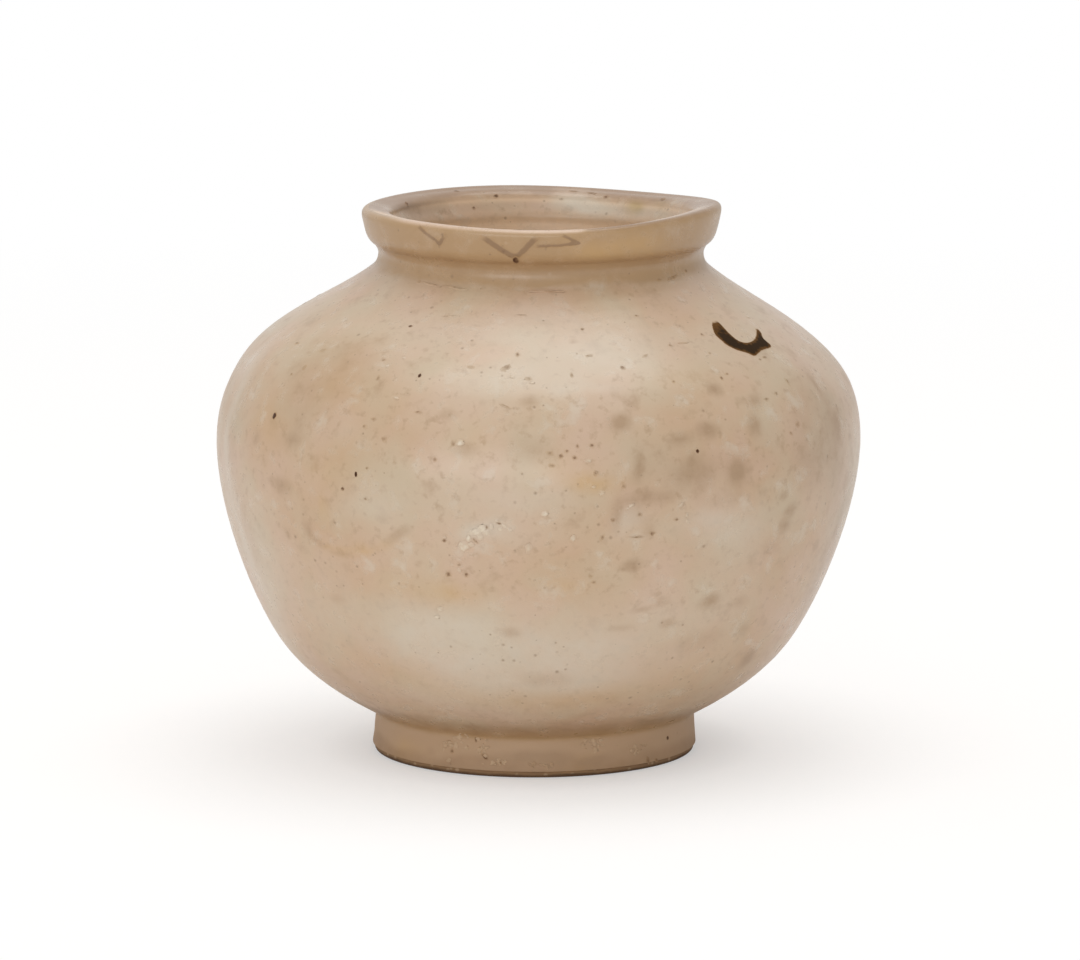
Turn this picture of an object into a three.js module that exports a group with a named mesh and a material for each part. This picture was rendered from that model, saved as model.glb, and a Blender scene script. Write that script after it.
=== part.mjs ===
// A small round stoneware jar with a rolled rim and a low foot ring, 120 mm across and about 102 mm high.
// It is thrown in sections that are luted together with slip, glazed inside and out, painted in iron and fired.
// Lengths are in millimetres, angles in degrees, and +Z is up. The origin is on the table under the belly's
// centre, +X is to the right of the painted front and +Y is to the back.
import * as THREE from 'three';

// Heights of the clay sections and of the slip between them, from the table up
const footHeight = 7.3;
const lowerBodyHeight = 50.6;
const upperBodyHeight = 31.1;
const collarHeight = 5.1;
const rimHeight = 5.9;
const slipThickness = 0.4;

// Outside radii of the clay
const footRadius = 29.8;
const bellyRadius = 59.6;
const waistRadius = 29.8; // narrowest place of the neck
const neckRootFlare = 2.1; // how far the shoulder's top edge stands out from the neck's waist
const rimRootFlare = 0.8; // how far the neck's top edge stands out from its waist
const rimOverhang = 3.25; // how far the rim stands out from the neck's waist

// Clay thicknesses and small edges
const wall = 4.2;
const floorThickness = 5;
const neckWall = 3.9;
const footRingWidth = 5.2;
const footTaper = 0.4; // the foot ring is this much slimmer at its top
const footBevel = 0.5;
const coveRise = 3; // height over the floor where the inner wall starts to turn into it
const lipWidth = 4.9;
const lipFall = 0.6; // the lip slopes inwards by this much
const lipOuterRound = 0.9;
const lipInnerRound = 1.3;
const rimUndercut = 1.9; // height of the rim's rounded underside
const rimSlant = 0.75; // the rim is this much slimmer just over its underside
const mouthFlare = 0.5; // the mouth is this much wider than the throat where the rim starts

// Glaze
const glazeThickness = 0.4;
const bareFootHeight = 1.2; // the foot is wiped clean of glaze below this height

// Fairness of the body's curves: angles over the horizontal, and handle lengths as shares of their section
const undersideAngle = 26.2;
const haunchAngle = 55.6;
const shoulderAngle = 37.76;
const haunchOut = 0.607;
const haunchUp = 0.283;
const undersidePull = 0.15;
const haunchPullIn = 0.148;
const haunchPullOut = 0.168;
const bellyPullDown = 0.239;
const bellyPullUp = 0.61;
const shoulderPull = 0.473;
const waistShare = 0.65; // height of the neck's waist within the collar
const undercutFullness = 0.7; // how squarely the rim's underside turns up into its side

// Uneven throwing and firing: the jar leans to the right, its shoulder slumped left, and its lip waves
const leanAngle = 0.8;
const shoulderDrift = -0.9;
const driftShare = 0.685; // height of the widest drift within the upper body
const driftSpan = 12; // half the height over which the shoulder drifts
const lipWaves = [
  { crests: 1, height: 0.442, azimuth: -63.8 },
  { crests: 2, height: 0.387, azimuth: -18.5 },
  { crests: 3, height: 0.331, azimuth: -16.4 },
];

// Iron paint
const paintLift = 0.08; // clearance between the paint and the faceted glaze under it
const paintThickness = 0.25;
const paintEdge = 0.1; // thickness along the sides of a stroke
const crescentAzimuth = -34;
const crescentShare = 0.61; // place of the crescent along the shoulder, from the belly to the neck
const strokesOverRim = 1.5; // middle of the rim strokes, along the rim from the top of its underside
const rimStrokesAzimuth = -100; // middle of the middle rim stroke
const leftStrokeReach = -14; // place of the left and right rim strokes, round the rim from the middle one
const rightStrokeReach = 9.3;

// Fineness of the facets
const roundSteps = 40;
const lowerSteps = 10;
const lowerInsideSteps = 6;
const upperSteps = 8;
const upperInsideSteps = 5;
const bendSteps = 2;
const paintSteps = 18;

// Heights of the seams
const footTop = footHeight;
const lowerBase = footTop + slipThickness;
const lowerTop = lowerBase + lowerBodyHeight;
const upperBase = lowerTop + slipThickness;
const upperTop = upperBase + upperBodyHeight;
const collarBase = upperTop + slipThickness;
const collarTop = collarBase + collarHeight;
const rimBase = collarTop + slipThickness;
const rimTop = rimBase + rimHeight;
const floorTop = lowerBase + floorThickness;

// Radii that follow from the driving ones
const footTopRadius = footRadius - footTaper;
const footBoreRadius = footRadius - footRingWidth;
const neckRootRadius = waistRadius + neckRootFlare;
const rimRootRadius = waistRadius + rimRootFlare;
const rimRadius = waistRadius + rimOverhang;
const throatRadius = waistRadius - neckWall;

const radians = THREE.MathUtils.degToRad;
const at = (radius, height) => new THREE.Vector2(radius, height);

// The point at a distance from another, in a direction that is an angle over the horizontal.
function along(start, angle, distance) {
  return at(start.x + distance * Math.cos(radians(angle)), start.y + distance * Math.sin(radians(angle)));
}

// Points of a curve with exact ends, so that neighbouring sections share them.
function pointsOf(curve, start, end, steps) {
  const points = [start];
  for (let k = 1; k < steps; k += 1) {
    points.push(curve.getPoint(k / steps));
  }
  points.push(end);
  return points;
}

// A quadratic bend between two points, drawn towards a third.
function bend(start, control, end, steps = bendSteps) {
  return pointsOf(new THREE.QuadraticBezierCurve(start, control, end), start, end, steps);
}

// The point of a curve set into the clay by a depth, square to the curve.
function inside(curve, share, depth) {
  const point = curve.getPoint(share);
  const direction = curve.getTangent(share);
  return at(point.x - depth * direction.y, point.y + depth * direction.x);
}

// A path moved outwards by a distance, with mitred corners. Outwards is to the right of its direction.
function offset(path, distance) {
  return path.map((point, k) => {
    const before = path[Math.max(k - 1, 0)];
    const after = path[Math.min(k + 1, path.length - 1)];
    const arriving = point.clone().sub(before).normalize();
    const leaving = after.clone().sub(point).normalize();
    const first = k === 0 ? leaving : arriving;
    const second = k === path.length - 1 ? arriving : leaving;
    const reach = distance / (1 + first.dot(second));
    return at(point.x + reach * (first.y + second.y), point.y - reach * (first.x + second.x));
  });
}

// Outside of the lower body, from the foot to the belly seam
const haunch = at(
  footTopRadius + haunchOut * (bellyRadius - footTopRadius),
  lowerBase + haunchUp * lowerBodyHeight,
);
const undersideStart = at(footTopRadius, lowerBase);
const lowerEnd = at(bellyRadius, lowerTop);
const lowerCurve = new THREE.CurvePath();
lowerCurve.add(new THREE.CubicBezierCurve(
  undersideStart,
  along(undersideStart, undersideAngle, undersidePull * lowerBodyHeight),
  along(haunch, haunchAngle, -haunchPullIn * lowerBodyHeight),
  haunch,
));
lowerCurve.add(new THREE.CubicBezierCurve(
  haunch,
  along(haunch, haunchAngle, haunchPullOut * lowerBodyHeight),
  along(lowerEnd, 90, -bellyPullDown * lowerBodyHeight),
  lowerEnd,
));
const lowerOutside = pointsOf(lowerCurve, undersideStart, lowerEnd, lowerSteps);

// Outside of the upper body, from the belly seam to the neck seam
const upperStart = at(bellyRadius, upperBase);
const upperEnd = at(neckRootRadius, upperTop);
const upperCurve = new THREE.CubicBezierCurve(
  upperStart,
  along(upperStart, 90, bellyPullUp * upperBodyHeight),
  along(upperEnd, -shoulderAngle, shoulderPull * (bellyRadius - neckRootRadius)),
  upperEnd,
);
const upperOutside = pointsOf(upperCurve, upperStart, upperEnd, upperSteps);

// Outside of the collar: a cove that carries on the shoulder's slope and turns up into the rim
const shoulderSlope = Math.tan(radians(shoulderAngle));
const collarStart = at(neckRootRadius - slipThickness / shoulderSlope, collarBase);
const waist = at(waistRadius, collarBase + waistShare * collarHeight);
const collarEnd = at(rimRootRadius, collarTop);
const slopeMeetsWaist = at(waistRadius, collarBase + (collarStart.x - waistRadius) * shoulderSlope);
const collarOutside = [
  ...bend(collarStart, slopeMeetsWaist, waist),
  ...bend(waist, at(waistRadius, (waist.y + collarTop) / 2), collarEnd).slice(1),
];

// Outside of the rim, from its seam round its underside and up to the crest of the lip
const rimStart = at(rimRootRadius, rimBase);
const rimBandBase = at(rimRadius - rimSlant, rimBase + rimUndercut);
const undercutCorner = at(rimStart.x + undercutFullness * (rimBandBase.x - rimStart.x), rimBase);
const rimBandTop = at(rimRadius, rimTop - lipOuterRound);
const crest = at(rimRadius - lipOuterRound, rimTop);
const rimOutside = [
  ...bend(rimStart, undercutCorner, rimBandBase),
  ...bend(rimBandTop, at(rimRadius, rimTop), crest),
];

// Inside of the rim and collar: the lip slopes into a funnel that narrows to the throat
const lipCorner = at(rimRadius - lipWidth, rimTop - lipFall);
const lipInside = lipCorner.clone().lerp(crest, lipInnerRound / lipCorner.distanceTo(crest));
const funnelTop = at(lipCorner.x, lipCorner.y - lipInnerRound);
const rimInnerRoot = at(throatRadius + mouthFlare, rimBase);
const rimInside = [
  ...bend(lipInside, lipCorner, funnelTop),
  ...bend(funnelTop, at(rimInnerRoot.x, (funnelTop.y + rimBase) / 2), rimInnerRoot).slice(1),
];
const collarInside = bend(at(rimInnerRoot.x, collarTop), at(throatRadius, waist.y), at(throatRadius, collarBase));

// Inside of the upper body, from the throat down to the belly seam
const underShoulder = inside(upperCurve, 1, wall);
const slopeMeetsThroat = at(throatRadius, underShoulder.y + (underShoulder.x - throatRadius) * shoulderSlope);
const upperInside = bend(at(throatRadius, upperTop), slopeMeetsThroat, underShoulder);
for (let k = upperInsideSteps - 1; k > 0; k -= 1) {
  upperInside.push(inside(upperCurve, k / upperInsideSteps, wall));
}
upperInside.push(at(bellyRadius - wall, upperBase));

// Inside of the lower body, from the belly seam down to the middle of the floor
const lowerInside = [at(bellyRadius - wall, lowerTop)];
for (let k = lowerInsideSteps - 1; k > 0; k -= 1) {
  const point = inside(lowerCurve, k / lowerInsideSteps, wall);
  if (point.y > floorTop + coveRise) {
    lowerInside.push(point);
  }
}
const coveStart = lowerInside[lowerInside.length - 1];
const coveSlope = coveStart.clone().sub(lowerInside[lowerInside.length - 2]).normalize();
const coveLength = (floorTop - coveStart.y) / coveSlope.y;
const coveCorner = at(coveStart.x + coveLength * coveSlope.x, floorTop);
lowerInside.push(...bend(coveStart, coveCorner, at(coveCorner.x - coveLength, floorTop)).slice(1));
lowerInside.push(at(0, floorTop));

// Where the glaze starts on the tapered wall of the foot
const glazeStart = at(
  footRadius - footTaper * (bareFootHeight - footBevel) / (footTop - footBevel),
  bareFootHeight,
);

// The whole glazed face of the clay, from the foot over the lip to the middle of the floor, and the glaze on it
const clayFace = [
  glazeStart, ...lowerOutside, ...upperOutside, ...collarOutside, ...rimOutside,
  ...rimInside, ...collarInside, ...upperInside, ...lowerInside,
];
const glazeFace = offset(clayFace, glazeThickness);
const crestPlace = clayFace.indexOf(crest);

// Outline of a skin of glaze between two places of the glazed face.
function skin(first, last) {
  return [...clayFace.slice(first, last + 1), ...glazeFace.slice(first, last + 1).reverse()];
}

// Outline of a flat ring between two radii and two heights.
function seam(outer, inner, base, top) {
  return [at(inner, base), at(outer, base), at(outer, top), at(inner, top)];
}

// Everything on the jar moves sideways with its height, and the rim up and down around the mouth.
function throwUnevenly(geometry) {
  const places = geometry.getAttribute('position');
  const driftHeight = upperBase + driftShare * upperBodyHeight;
  for (let k = 0; k < places.count; k += 1) {
    const [x, y, z] = [places.getX(k), places.getY(k), places.getZ(k)];
    const drift = THREE.MathUtils.clamp((z - driftHeight) / driftSpan, -1, 1) * Math.PI / 2;
    const lean = Math.tan(radians(leanAngle)) * (z - lowerTop);
    const rise = THREE.MathUtils.clamp((z - rimBase) / rimHeight, 0, 1);
    let wave = 0;
    for (const { crests, height, azimuth } of lipWaves) {
      wave += height * Math.cos(crests * (Math.atan2(y, x) - radians(azimuth)));
    }
    places.setXYZ(k, x + lean + shoulderDrift * Math.cos(drift) ** 2, y, z + rise * wave);
  }
  geometry.computeVertexNormals();
  return geometry;
}

// Spins a closed outline about the upright axis. Each face is split from its lower edge to its upper one in
// the same way, so that two pieces that share a face share its triangles too.
function spin(outline) {
  const turned = THREE.ShapeUtils.isClockWise(outline) ? [...outline].reverse() : outline;
  const closed = [...turned, turned[0]];
  const lathe = new THREE.LatheGeometry(closed, roundSteps);
  lathe.rotateX(Math.PI / 2);
  const index = [];
  for (let step = 0; step < roundSteps; step += 1) {
    for (let k = 0; k < turned.length; k += 1) {
      const [here, next] = [closed[k], closed[k + 1]];
      const a = step * closed.length + k;
      const [b, c, d] = [a + closed.length, a + closed.length + 1, a + 1];
      const rises = here.y < next.y || (here.y === next.y && here.x < next.x);
      if (here.x === 0 && next.x === 0) continue;
      if (here.x === 0) index.push(a, c, d);
      else if (next.x === 0) index.push(a, b, d);
      else if (rises) index.push(a, b, c, a, c, d);
      else index.push(a, b, d, b, c, d);
    }
  }
  lathe.setIndex(index);
  return throwUnevenly(lathe);
}

// The place on the outer glaze at an arc length from the foot, an azimuth and a lift over the glaze.
const paintedFace = glazeFace.slice(0, crestPlace + 1);
const arcs = [0];
for (let k = 1; k < paintedFace.length; k += 1) {
  arcs.push(arcs[k - 1] + paintedFace[k].distanceTo(paintedFace[k - 1]));
}
const arcAt = (point) => arcs[clayFace.indexOf(point)];
function onGlaze(arc, azimuthAt, lift) {
  let k = 1;
  while (k < arcs.length - 1 && arcs[k] < arc) k += 1;
  const direction = paintedFace[k].clone().sub(paintedFace[k - 1]).normalize();
  const point = paintedFace[k - 1].clone().addScaledVector(direction, arc - arcs[k - 1]);
  const azimuth = azimuthAt(point.x);
  const radius = point.x + lift * direction.y;
  return new THREE.Vector3(
    radius * Math.cos(azimuth),
    radius * Math.sin(azimuth),
    point.y - lift * direction.x,
  );
}

// A stroke of iron paint that lies on the glaze between two edges. Each edge is a list of places to the right
// of the stroke's middle and above it, in millimetres along the surface, in the direction of the brush.
function stroke(leftEdge, rightEdge, middleArc, middleAzimuth) {
  const place = (spot, lift) => onGlaze(
    middleArc + spot.y,
    (radius) => radians(middleAzimuth) + spot.x / radius,
    paintLift + lift,
  );
  const left = new THREE.SplineCurve(leftEdge).getPoints(paintSteps);
  const right = new THREE.SplineCurve(rightEdge).getPoints(paintSteps);
  const places = [];
  for (let k = 0; k <= paintSteps; k += 1) {
    const middle = left[k].clone().lerp(right[k], 0.5);
    places.push(place(right[k], 0), place(middle, 0), place(left[k], 0));
    places.push(place(left[k], paintEdge), place(middle, paintThickness), place(right[k], paintEdge));
  }
  const sides = 6;
  const index = [];
  for (let k = 0; k < paintSteps; k += 1) {
    for (let side = 0; side < sides; side += 1) {
      const a = k * sides + side;
      const b = k * sides + (side + 1) % sides;
      index.push(a, b, b + sides, a, b + sides, a + sides);
    }
  }
  const end = paintSteps * sides;
  for (let side = 1; side < sides - 1; side += 1) {
    index.push(0, side + 1, side, end, end + side, end + side + 1);
  }
  const geometry = new THREE.BufferGeometry().setFromPoints(places);
  geometry.setIndex(index);
  return throwUnevenly(geometry);
}

// The two edges of a line of even brush width, drawn through a few places and moved round the jar by a reach.
function brushLine(places, width, reach) {
  const points = places.map(([right, up]) => at(reach + right, up));
  return [offset(points, -width / 2), offset(points, width / 2)];
}

// Iron-painted crescent on the right of the shoulder, pulled up into a hook at its right end
const crescentInner = [
  [-3.0, 6.5], [-2.9, 5.1], [-3.1, 3.5], [-3.1, 2.1], [-2.5, 0.9], [-1.4, 0.2],
  [0.2, 0.0], [1.3, 0.1], [2.2, 0.4], [3.1, 0.8], [4.4, 1.5], [5.6, 2.3],
].map(([right, up]) => at(right, up));
const crescentOuter = [
  [-3.6, 6.6], [-5.5, 4.1], [-6.3, 2.1], [-6.1, 0.4], [-5.4, -0.8], [-4.0, -1.8],
  [-2.4, -2.6], [-1.0, -3.1], [1.4, -2.7], [4.9, -2.2], [6.0, 0.0], [6.1, 2.2],
].map(([right, up]) => at(right, up));
const shoulderArc = arcAt(upperStart) + crescentShare * (arcAt(upperEnd) - arcAt(upperStart));
const rimStrokeArc = arcAt(rimBandBase) + strokesOverRim;

// Three faint zigzag strokes around the front of the rim
const leftZigzag = [[-5.2, 2.5], [-3.8, 1.9], [-2.0, 1.0], [-0.4, 0.1], [1.3, 1.7]];
const middleZigzag = [[-5.1, 1.7], [-3.6, 0.8], [-0.8, -1.3], [0.7, -2.1], [1.9, -0.8], [5.8, 2.1]];
const rightZigzag = [[-0.6, 2.0], [1.1, 1.3], [2.8, 0.5], [0.8, -0.1], [-5.1, 0]];
const rimStrokeLeft = brushLine(leftZigzag, 0.8, leftStrokeReach);
const rimStrokeMiddle = brushLine(middleZigzag, 1, 0);
const rimStrokeRight = brushLine(rightZigzag, 0.7, rightStrokeReach);

const jar = new THREE.Group();

// Adds one named piece with its finish.
function add(name, geometry, color, roughness) {
  const material = new THREE.MeshStandardMaterial({ color, roughness, metalness: 0 });
  const mesh = new THREE.Mesh(geometry, material);
  mesh.name = name;
  jar.add(mesh);
}

// Clay sections
const clayColor = '#b39a7c';
const clayRoughness = 0.9;
add('foot_ring', spin([
  at(footRadius - footBevel, 0), at(footRadius, footBevel), glazeStart,
  at(footTopRadius, footTop), at(footBoreRadius, footTop),
  at(footBoreRadius, footBevel), at(footBoreRadius + footBevel, 0),
]), '#8f7358', clayRoughness);
add('lower_body', spin([...lowerOutside, ...lowerInside, at(0, lowerBase)]), clayColor, clayRoughness);
add('upper_body', spin([...upperOutside, ...upperInside]), clayColor, clayRoughness);
add('neck_collar', spin([...collarOutside, ...collarInside]), clayColor, clayRoughness);
add('mouth_rim', spin([...rimOutside, ...rimInside]), clayColor, clayRoughness);

// Slip that lutes the sections together
const slipColor = '#c3ab8c';
const slipSeams = {
  foot_slip: seam(footTopRadius, footBoreRadius, footTop, lowerBase),
  belly_slip: seam(bellyRadius, bellyRadius - wall, lowerTop, upperBase),
  neck_slip: [upperEnd, collarStart, at(throatRadius, collarBase), at(throatRadius, upperTop)],
  rim_slip: seam(rimRootRadius, rimInnerRoot.x, collarTop, rimBase),
};
for (const [name, outline] of Object.entries(slipSeams)) {
  add(name, spin(outline), slipColor, clayRoughness);
}

// Glaze, outside and inside, which meet on the crest of the lip
add('outer_glaze', spin(skin(0, crestPlace)), '#cbb299', 0.35);
add('inner_glaze', spin(skin(crestPlace, clayFace.length - 1)), '#af937b', 0.4);

// Iron paint
add('iron_crescent', stroke(crescentInner, crescentOuter, shoulderArc, crescentAzimuth), '#33261a', 0.45);
add('rim_stroke_left', stroke(...rimStrokeLeft, rimStrokeArc, rimStrokesAzimuth), '#94765a', 0.5);
add('rim_stroke_middle', stroke(...rimStrokeMiddle, rimStrokeArc, rimStrokesAzimuth), '#8a6c50', 0.5);
add('rim_stroke_right', stroke(...rimStrokeRight, rimStrokeArc, rimStrokesAzimuth), '#94765a', 0.5);

export default jar;
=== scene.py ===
"""A small round stoneware jar: clay sections, a cloudy ash glaze, iron brush marks and a white studio.

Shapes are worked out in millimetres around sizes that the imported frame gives, and are scaled to metres
when a piece is finished. The jar stands on the origin, its painted front looks along -Y and +Z is up.
"""

import bisect
import logging
import math
import random
from collections.abc import Callable
from dataclasses import dataclass, field
from enum import Enum

import bmesh
import bpy
import numpy as np
from mathutils import Matrix, Vector, noise
from mathutils.bvhtree import BVHTree
from mathutils.interpolate import poly_3d_calc


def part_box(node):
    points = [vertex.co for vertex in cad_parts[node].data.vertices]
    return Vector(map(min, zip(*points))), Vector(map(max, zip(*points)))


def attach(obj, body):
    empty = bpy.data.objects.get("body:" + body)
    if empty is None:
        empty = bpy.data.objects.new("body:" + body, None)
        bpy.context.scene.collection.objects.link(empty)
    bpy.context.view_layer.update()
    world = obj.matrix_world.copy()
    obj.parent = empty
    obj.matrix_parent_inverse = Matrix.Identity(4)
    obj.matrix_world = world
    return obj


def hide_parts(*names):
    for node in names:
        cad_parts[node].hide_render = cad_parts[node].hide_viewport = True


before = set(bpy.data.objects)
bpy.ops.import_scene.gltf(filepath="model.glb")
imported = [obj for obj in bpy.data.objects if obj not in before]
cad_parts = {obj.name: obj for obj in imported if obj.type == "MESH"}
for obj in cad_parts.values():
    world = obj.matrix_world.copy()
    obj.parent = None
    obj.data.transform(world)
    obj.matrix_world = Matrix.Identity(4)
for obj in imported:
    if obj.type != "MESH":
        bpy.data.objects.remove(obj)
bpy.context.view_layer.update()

MM = 0.001
UP = Vector((0, 0, 1))
FULL_TURN = 2 * math.pi
BODY = "root"
WHITE = (1, 1, 1, 1)

# Corners closer together than this many millimetres are one
WELD = 0.001

# Sockets of the colour Mix node
MIX_FIRST = 6
MIX_SECOND = 7
MIX_RESULT = 2

log = logging.getLogger("jar")


def at(radius: float, height: float) -> Vector:
    """Returns a point of an outline, at a radius from the upright axis and a height over the table."""
    return Vector((radius, height))


def heading(degrees: float, length: float) -> Vector:
    """Returns the step of a length in a direction that is an angle over the horizontal."""
    return Vector((math.cos(math.radians(degrees)), math.sin(math.radians(degrees)))) * length


def smooth_step(low: float, high: float, value: float) -> float:
    """Returns 0 below low and 1 above high, with a soft change between them."""
    share = min(max((value - low) / (high - low), 0), 1)
    return share * share * (3 - 2 * share)


def ridge(low: float, peak: float, high: float, value: float) -> float:
    """Returns 1 at the peak and 0 below low and above high, with soft changes between them."""
    return smooth_step(low, peak, value) * (1 - smooth_step(peak, high, value))


def curve(controls: list[Vector], spacing: float) -> list[Vector]:
    """Samples a Bezier curve of any degree.

    Args:
        controls: The curve's control points, its ends included.
        spacing: The longest step between samples, in millimetres.

    Returns:
        The sampled points, both ends included.
    """
    length = sum((b - a).length for a, b in zip(controls, controls[1:]))
    steps = max(2, math.ceil(length / spacing))
    points = []
    for k in range(steps + 1):
        row = controls
        while len(row) > 1:
            row = [a.lerp(b, k / steps) for a, b in zip(row, row[1:])]
        points.append(row[0].copy())
    return points


def thicken(path: list[Vector], distance: float) -> list[Vector]:
    """Moves a path to its right by a distance, with mitred corners.

    Args:
        path: Points of the outline.
        distance: How far the path moves, in millimetres. Less than 0 moves it to its left.

    Returns:
        As many points as the path has.
    """
    moved = []
    for k, point in enumerate(path):
        arriving = (point - path[max(k - 1, 0)]).normalized()
        leaving = (path[min(k + 1, len(path) - 1)] - point).normalized()
        first = leaving if k == 0 else arriving
        second = arriving if k == len(path) - 1 else leaving
        reach = distance / (1 + first.dot(second))
        moved.append(at(point.x + reach * (first.y + second.y), point.y - reach * (first.x + second.x)))
    return moved


def melt(path: list[Vector], passes: int) -> list[Vector]:
    """Softens a path's corners as melted glaze does, filling hollows and thinning ridges. Its ends stay.

    Args:
        path: Points of the outline.
        passes: How often each corner is drawn half-way to its neighbours.

    Returns:
        As many points as the path has.
    """
    for _ in range(passes):
        inner = [b.lerp((a + c) / 2, 0.5) for a, b, c in zip(path, path[1:], path[2:])]
        path = [path[0], *inner, path[-1]]
    return path


def lengths_along(path: list[Vector]) -> list[float]:
    """Measures a path.

    Args:
        path: Points of the outline.

    Returns:
        Each point's distance from the path's start, measured along the path.
    """
    lengths = [0.0]
    for a, b in zip(path, path[1:]):
        lengths.append(lengths[-1] + (b - a).length)
    return lengths


def half_depth(node: str) -> float:
    """Returns half a CAD node's size from front to back, in millimetres, which the lean leaves alone."""
    low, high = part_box(node)
    return (high.y - low.y) / 2 / MM


def base_of(node: str) -> float:
    """Returns the height of a CAD node's lowest point, in millimetres."""
    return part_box(node)[0].z / MM


def top_of(node: str) -> float:
    """Returns the height of a CAD node's highest point, in millimetres."""
    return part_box(node)[1].z / MM


def from_frame(measure: Callable[[str], float], node: str) -> float:
    """Returns a dataclass field whose value is measured on a CAD node."""
    return field(default_factory=lambda: measure(node))


@dataclass(frozen=True)
class JarShape:
    """Outline of the jar's clay, in millimetres, from the frame's sizes and the fairness of its curves."""

    foot_radius: float = from_frame(half_depth, "foot_ring")
    foot_top_radius: float = from_frame(half_depth, "foot_slip")
    belly_radius: float = from_frame(half_depth, "belly_slip")
    neck_root_radius: float = from_frame(half_depth, "neck_slip")
    rim_root_radius: float = from_frame(half_depth, "rim_slip")
    rim_radius: float = from_frame(half_depth, "mouth_rim")
    foot_top: float = from_frame(base_of, "foot_slip")
    lower_base: float = from_frame(top_of, "foot_slip")
    lower_top: float = from_frame(base_of, "belly_slip")
    upper_base: float = from_frame(top_of, "belly_slip")
    upper_top: float = from_frame(base_of, "neck_slip")
    collar_base: float = from_frame(top_of, "neck_slip")
    collar_top: float = from_frame(base_of, "rim_slip")
    rim_base: float = from_frame(top_of, "rim_slip")
    rim_height: float = 5.9
    waist_radius: float = 29.8
    wall: float = 4.2
    floor_thickness: float = 5.0
    neck_wall: float = 3.9
    foot_ring_width: float = 5.2
    foot_bevel: float = 0.5
    bare_foot_height: float = 1.2
    cove_rise: float = 3.0
    lip_width: float = 4.9
    lip_fall: float = 0.6
    lip_outer_round: float = 0.9
    lip_inner_round: float = 1.3
    rim_undercut: float = 1.9
    rim_slant: float = 0.75
    mouth_flare: float = 0.5
    glaze_thickness: float = 0.4
    underside_angle: float = 26.2
    haunch_angle: float = 55.6
    shoulder_angle: float = 37.76
    haunch_out: float = 0.607
    haunch_up: float = 0.283
    underside_pull: float = 0.15
    haunch_pull_in: float = 0.148
    haunch_pull_out: float = 0.168
    belly_pull_down: float = 0.239
    belly_pull_up: float = 0.61
    shoulder_pull: float = 0.473
    waist_share: float = 0.65
    undercut_fullness: float = 0.7
    fine: float = 0.3
    coarse: float = 0.9

    @property
    def rim_top(self) -> float:
        """Returns the height of the lip's crest."""
        return self.rim_base + self.rim_height

    @property
    def floor_top(self) -> float:
        """Returns the height of the floor inside the jar."""
        return self.lower_base + self.floor_thickness

    @property
    def throat_radius(self) -> float:
        """Returns the radius of the narrowest place of the neck's inside."""
        return self.waist_radius - self.neck_wall

    @property
    def shoulder_slope(self) -> float:
        """Returns the shoulder's fall over its run where it meets the neck."""
        return math.tan(math.radians(self.shoulder_angle))

    @property
    def waist(self) -> Vector:
        """Returns the narrowest point of the neck's outside."""
        rise = self.waist_share * (self.collar_top - self.collar_base)
        return at(self.waist_radius, self.collar_base + rise)

    @property
    def crest(self) -> Vector:
        """Returns the highest point of the lip."""
        return at(self.rim_radius - self.lip_outer_round, self.rim_top)

    @property
    def mouth_root(self) -> Vector:
        """Returns the place inside where the rim stands on the collar."""
        return at(self.throat_radius + self.mouth_flare, self.rim_base)

    def foot_wall(self) -> list[Vector]:
        """Returns the glazed wall of the foot, from the wiped edge up."""
        start = at(self.foot_radius, self.bare_foot_height)
        return curve([start, at(self.foot_top_radius, self.foot_top)], self.fine)

    def lower_outside(self) -> list[Vector]:
        """Draws the lower body's outside.

        Returns:
            Its outline, from the foot up to the belly.
        """
        start = at(self.foot_top_radius, self.lower_base)
        end = at(self.belly_radius, self.lower_top)
        height = end.y - start.y
        haunch = start + at(self.haunch_out * (end.x - start.x), self.haunch_up * height)
        leave_foot = start + heading(self.underside_angle, self.underside_pull * height)
        reach_haunch = haunch - heading(self.haunch_angle, self.haunch_pull_in * height)
        leave_haunch = haunch + heading(self.haunch_angle, self.haunch_pull_out * height)
        reach_belly = end - heading(90, self.belly_pull_down * height)
        underside = curve([start, leave_foot, reach_haunch, haunch], 2 * self.fine)
        return underside + curve([haunch, leave_haunch, reach_belly, end], self.coarse)[1:]

    def upper_outside(self) -> list[Vector]:
        """Draws the upper body's outside.

        Returns:
            Its outline, from the belly up to the neck.
        """
        start = at(self.belly_radius, self.upper_base)
        end = at(self.neck_root_radius, self.upper_top)
        leave_belly = start + heading(90, self.belly_pull_up * (end.y - start.y))
        reach_neck = end + heading(-self.shoulder_angle, self.shoulder_pull * (start.x - end.x))
        return curve([start, leave_belly, reach_neck, end], self.coarse)

    def collar_outside(self) -> list[Vector]:
        """Draws the neck's coved outside.

        Returns:
            Its outline, from the shoulder up to the rim.
        """
        step = self.collar_base - self.upper_top
        start = at(self.neck_root_radius - step / self.shoulder_slope, self.collar_base)
        rise = (start.x - self.waist_radius) * self.shoulder_slope
        corner = at(self.waist_radius, self.collar_base + rise)
        lift = at(self.waist_radius, (self.waist.y + self.collar_top) / 2)
        cove = curve([start, corner, self.waist], self.fine)
        return cove + curve([self.waist, lift, at(self.rim_root_radius, self.collar_top)], self.fine)[1:]

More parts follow.
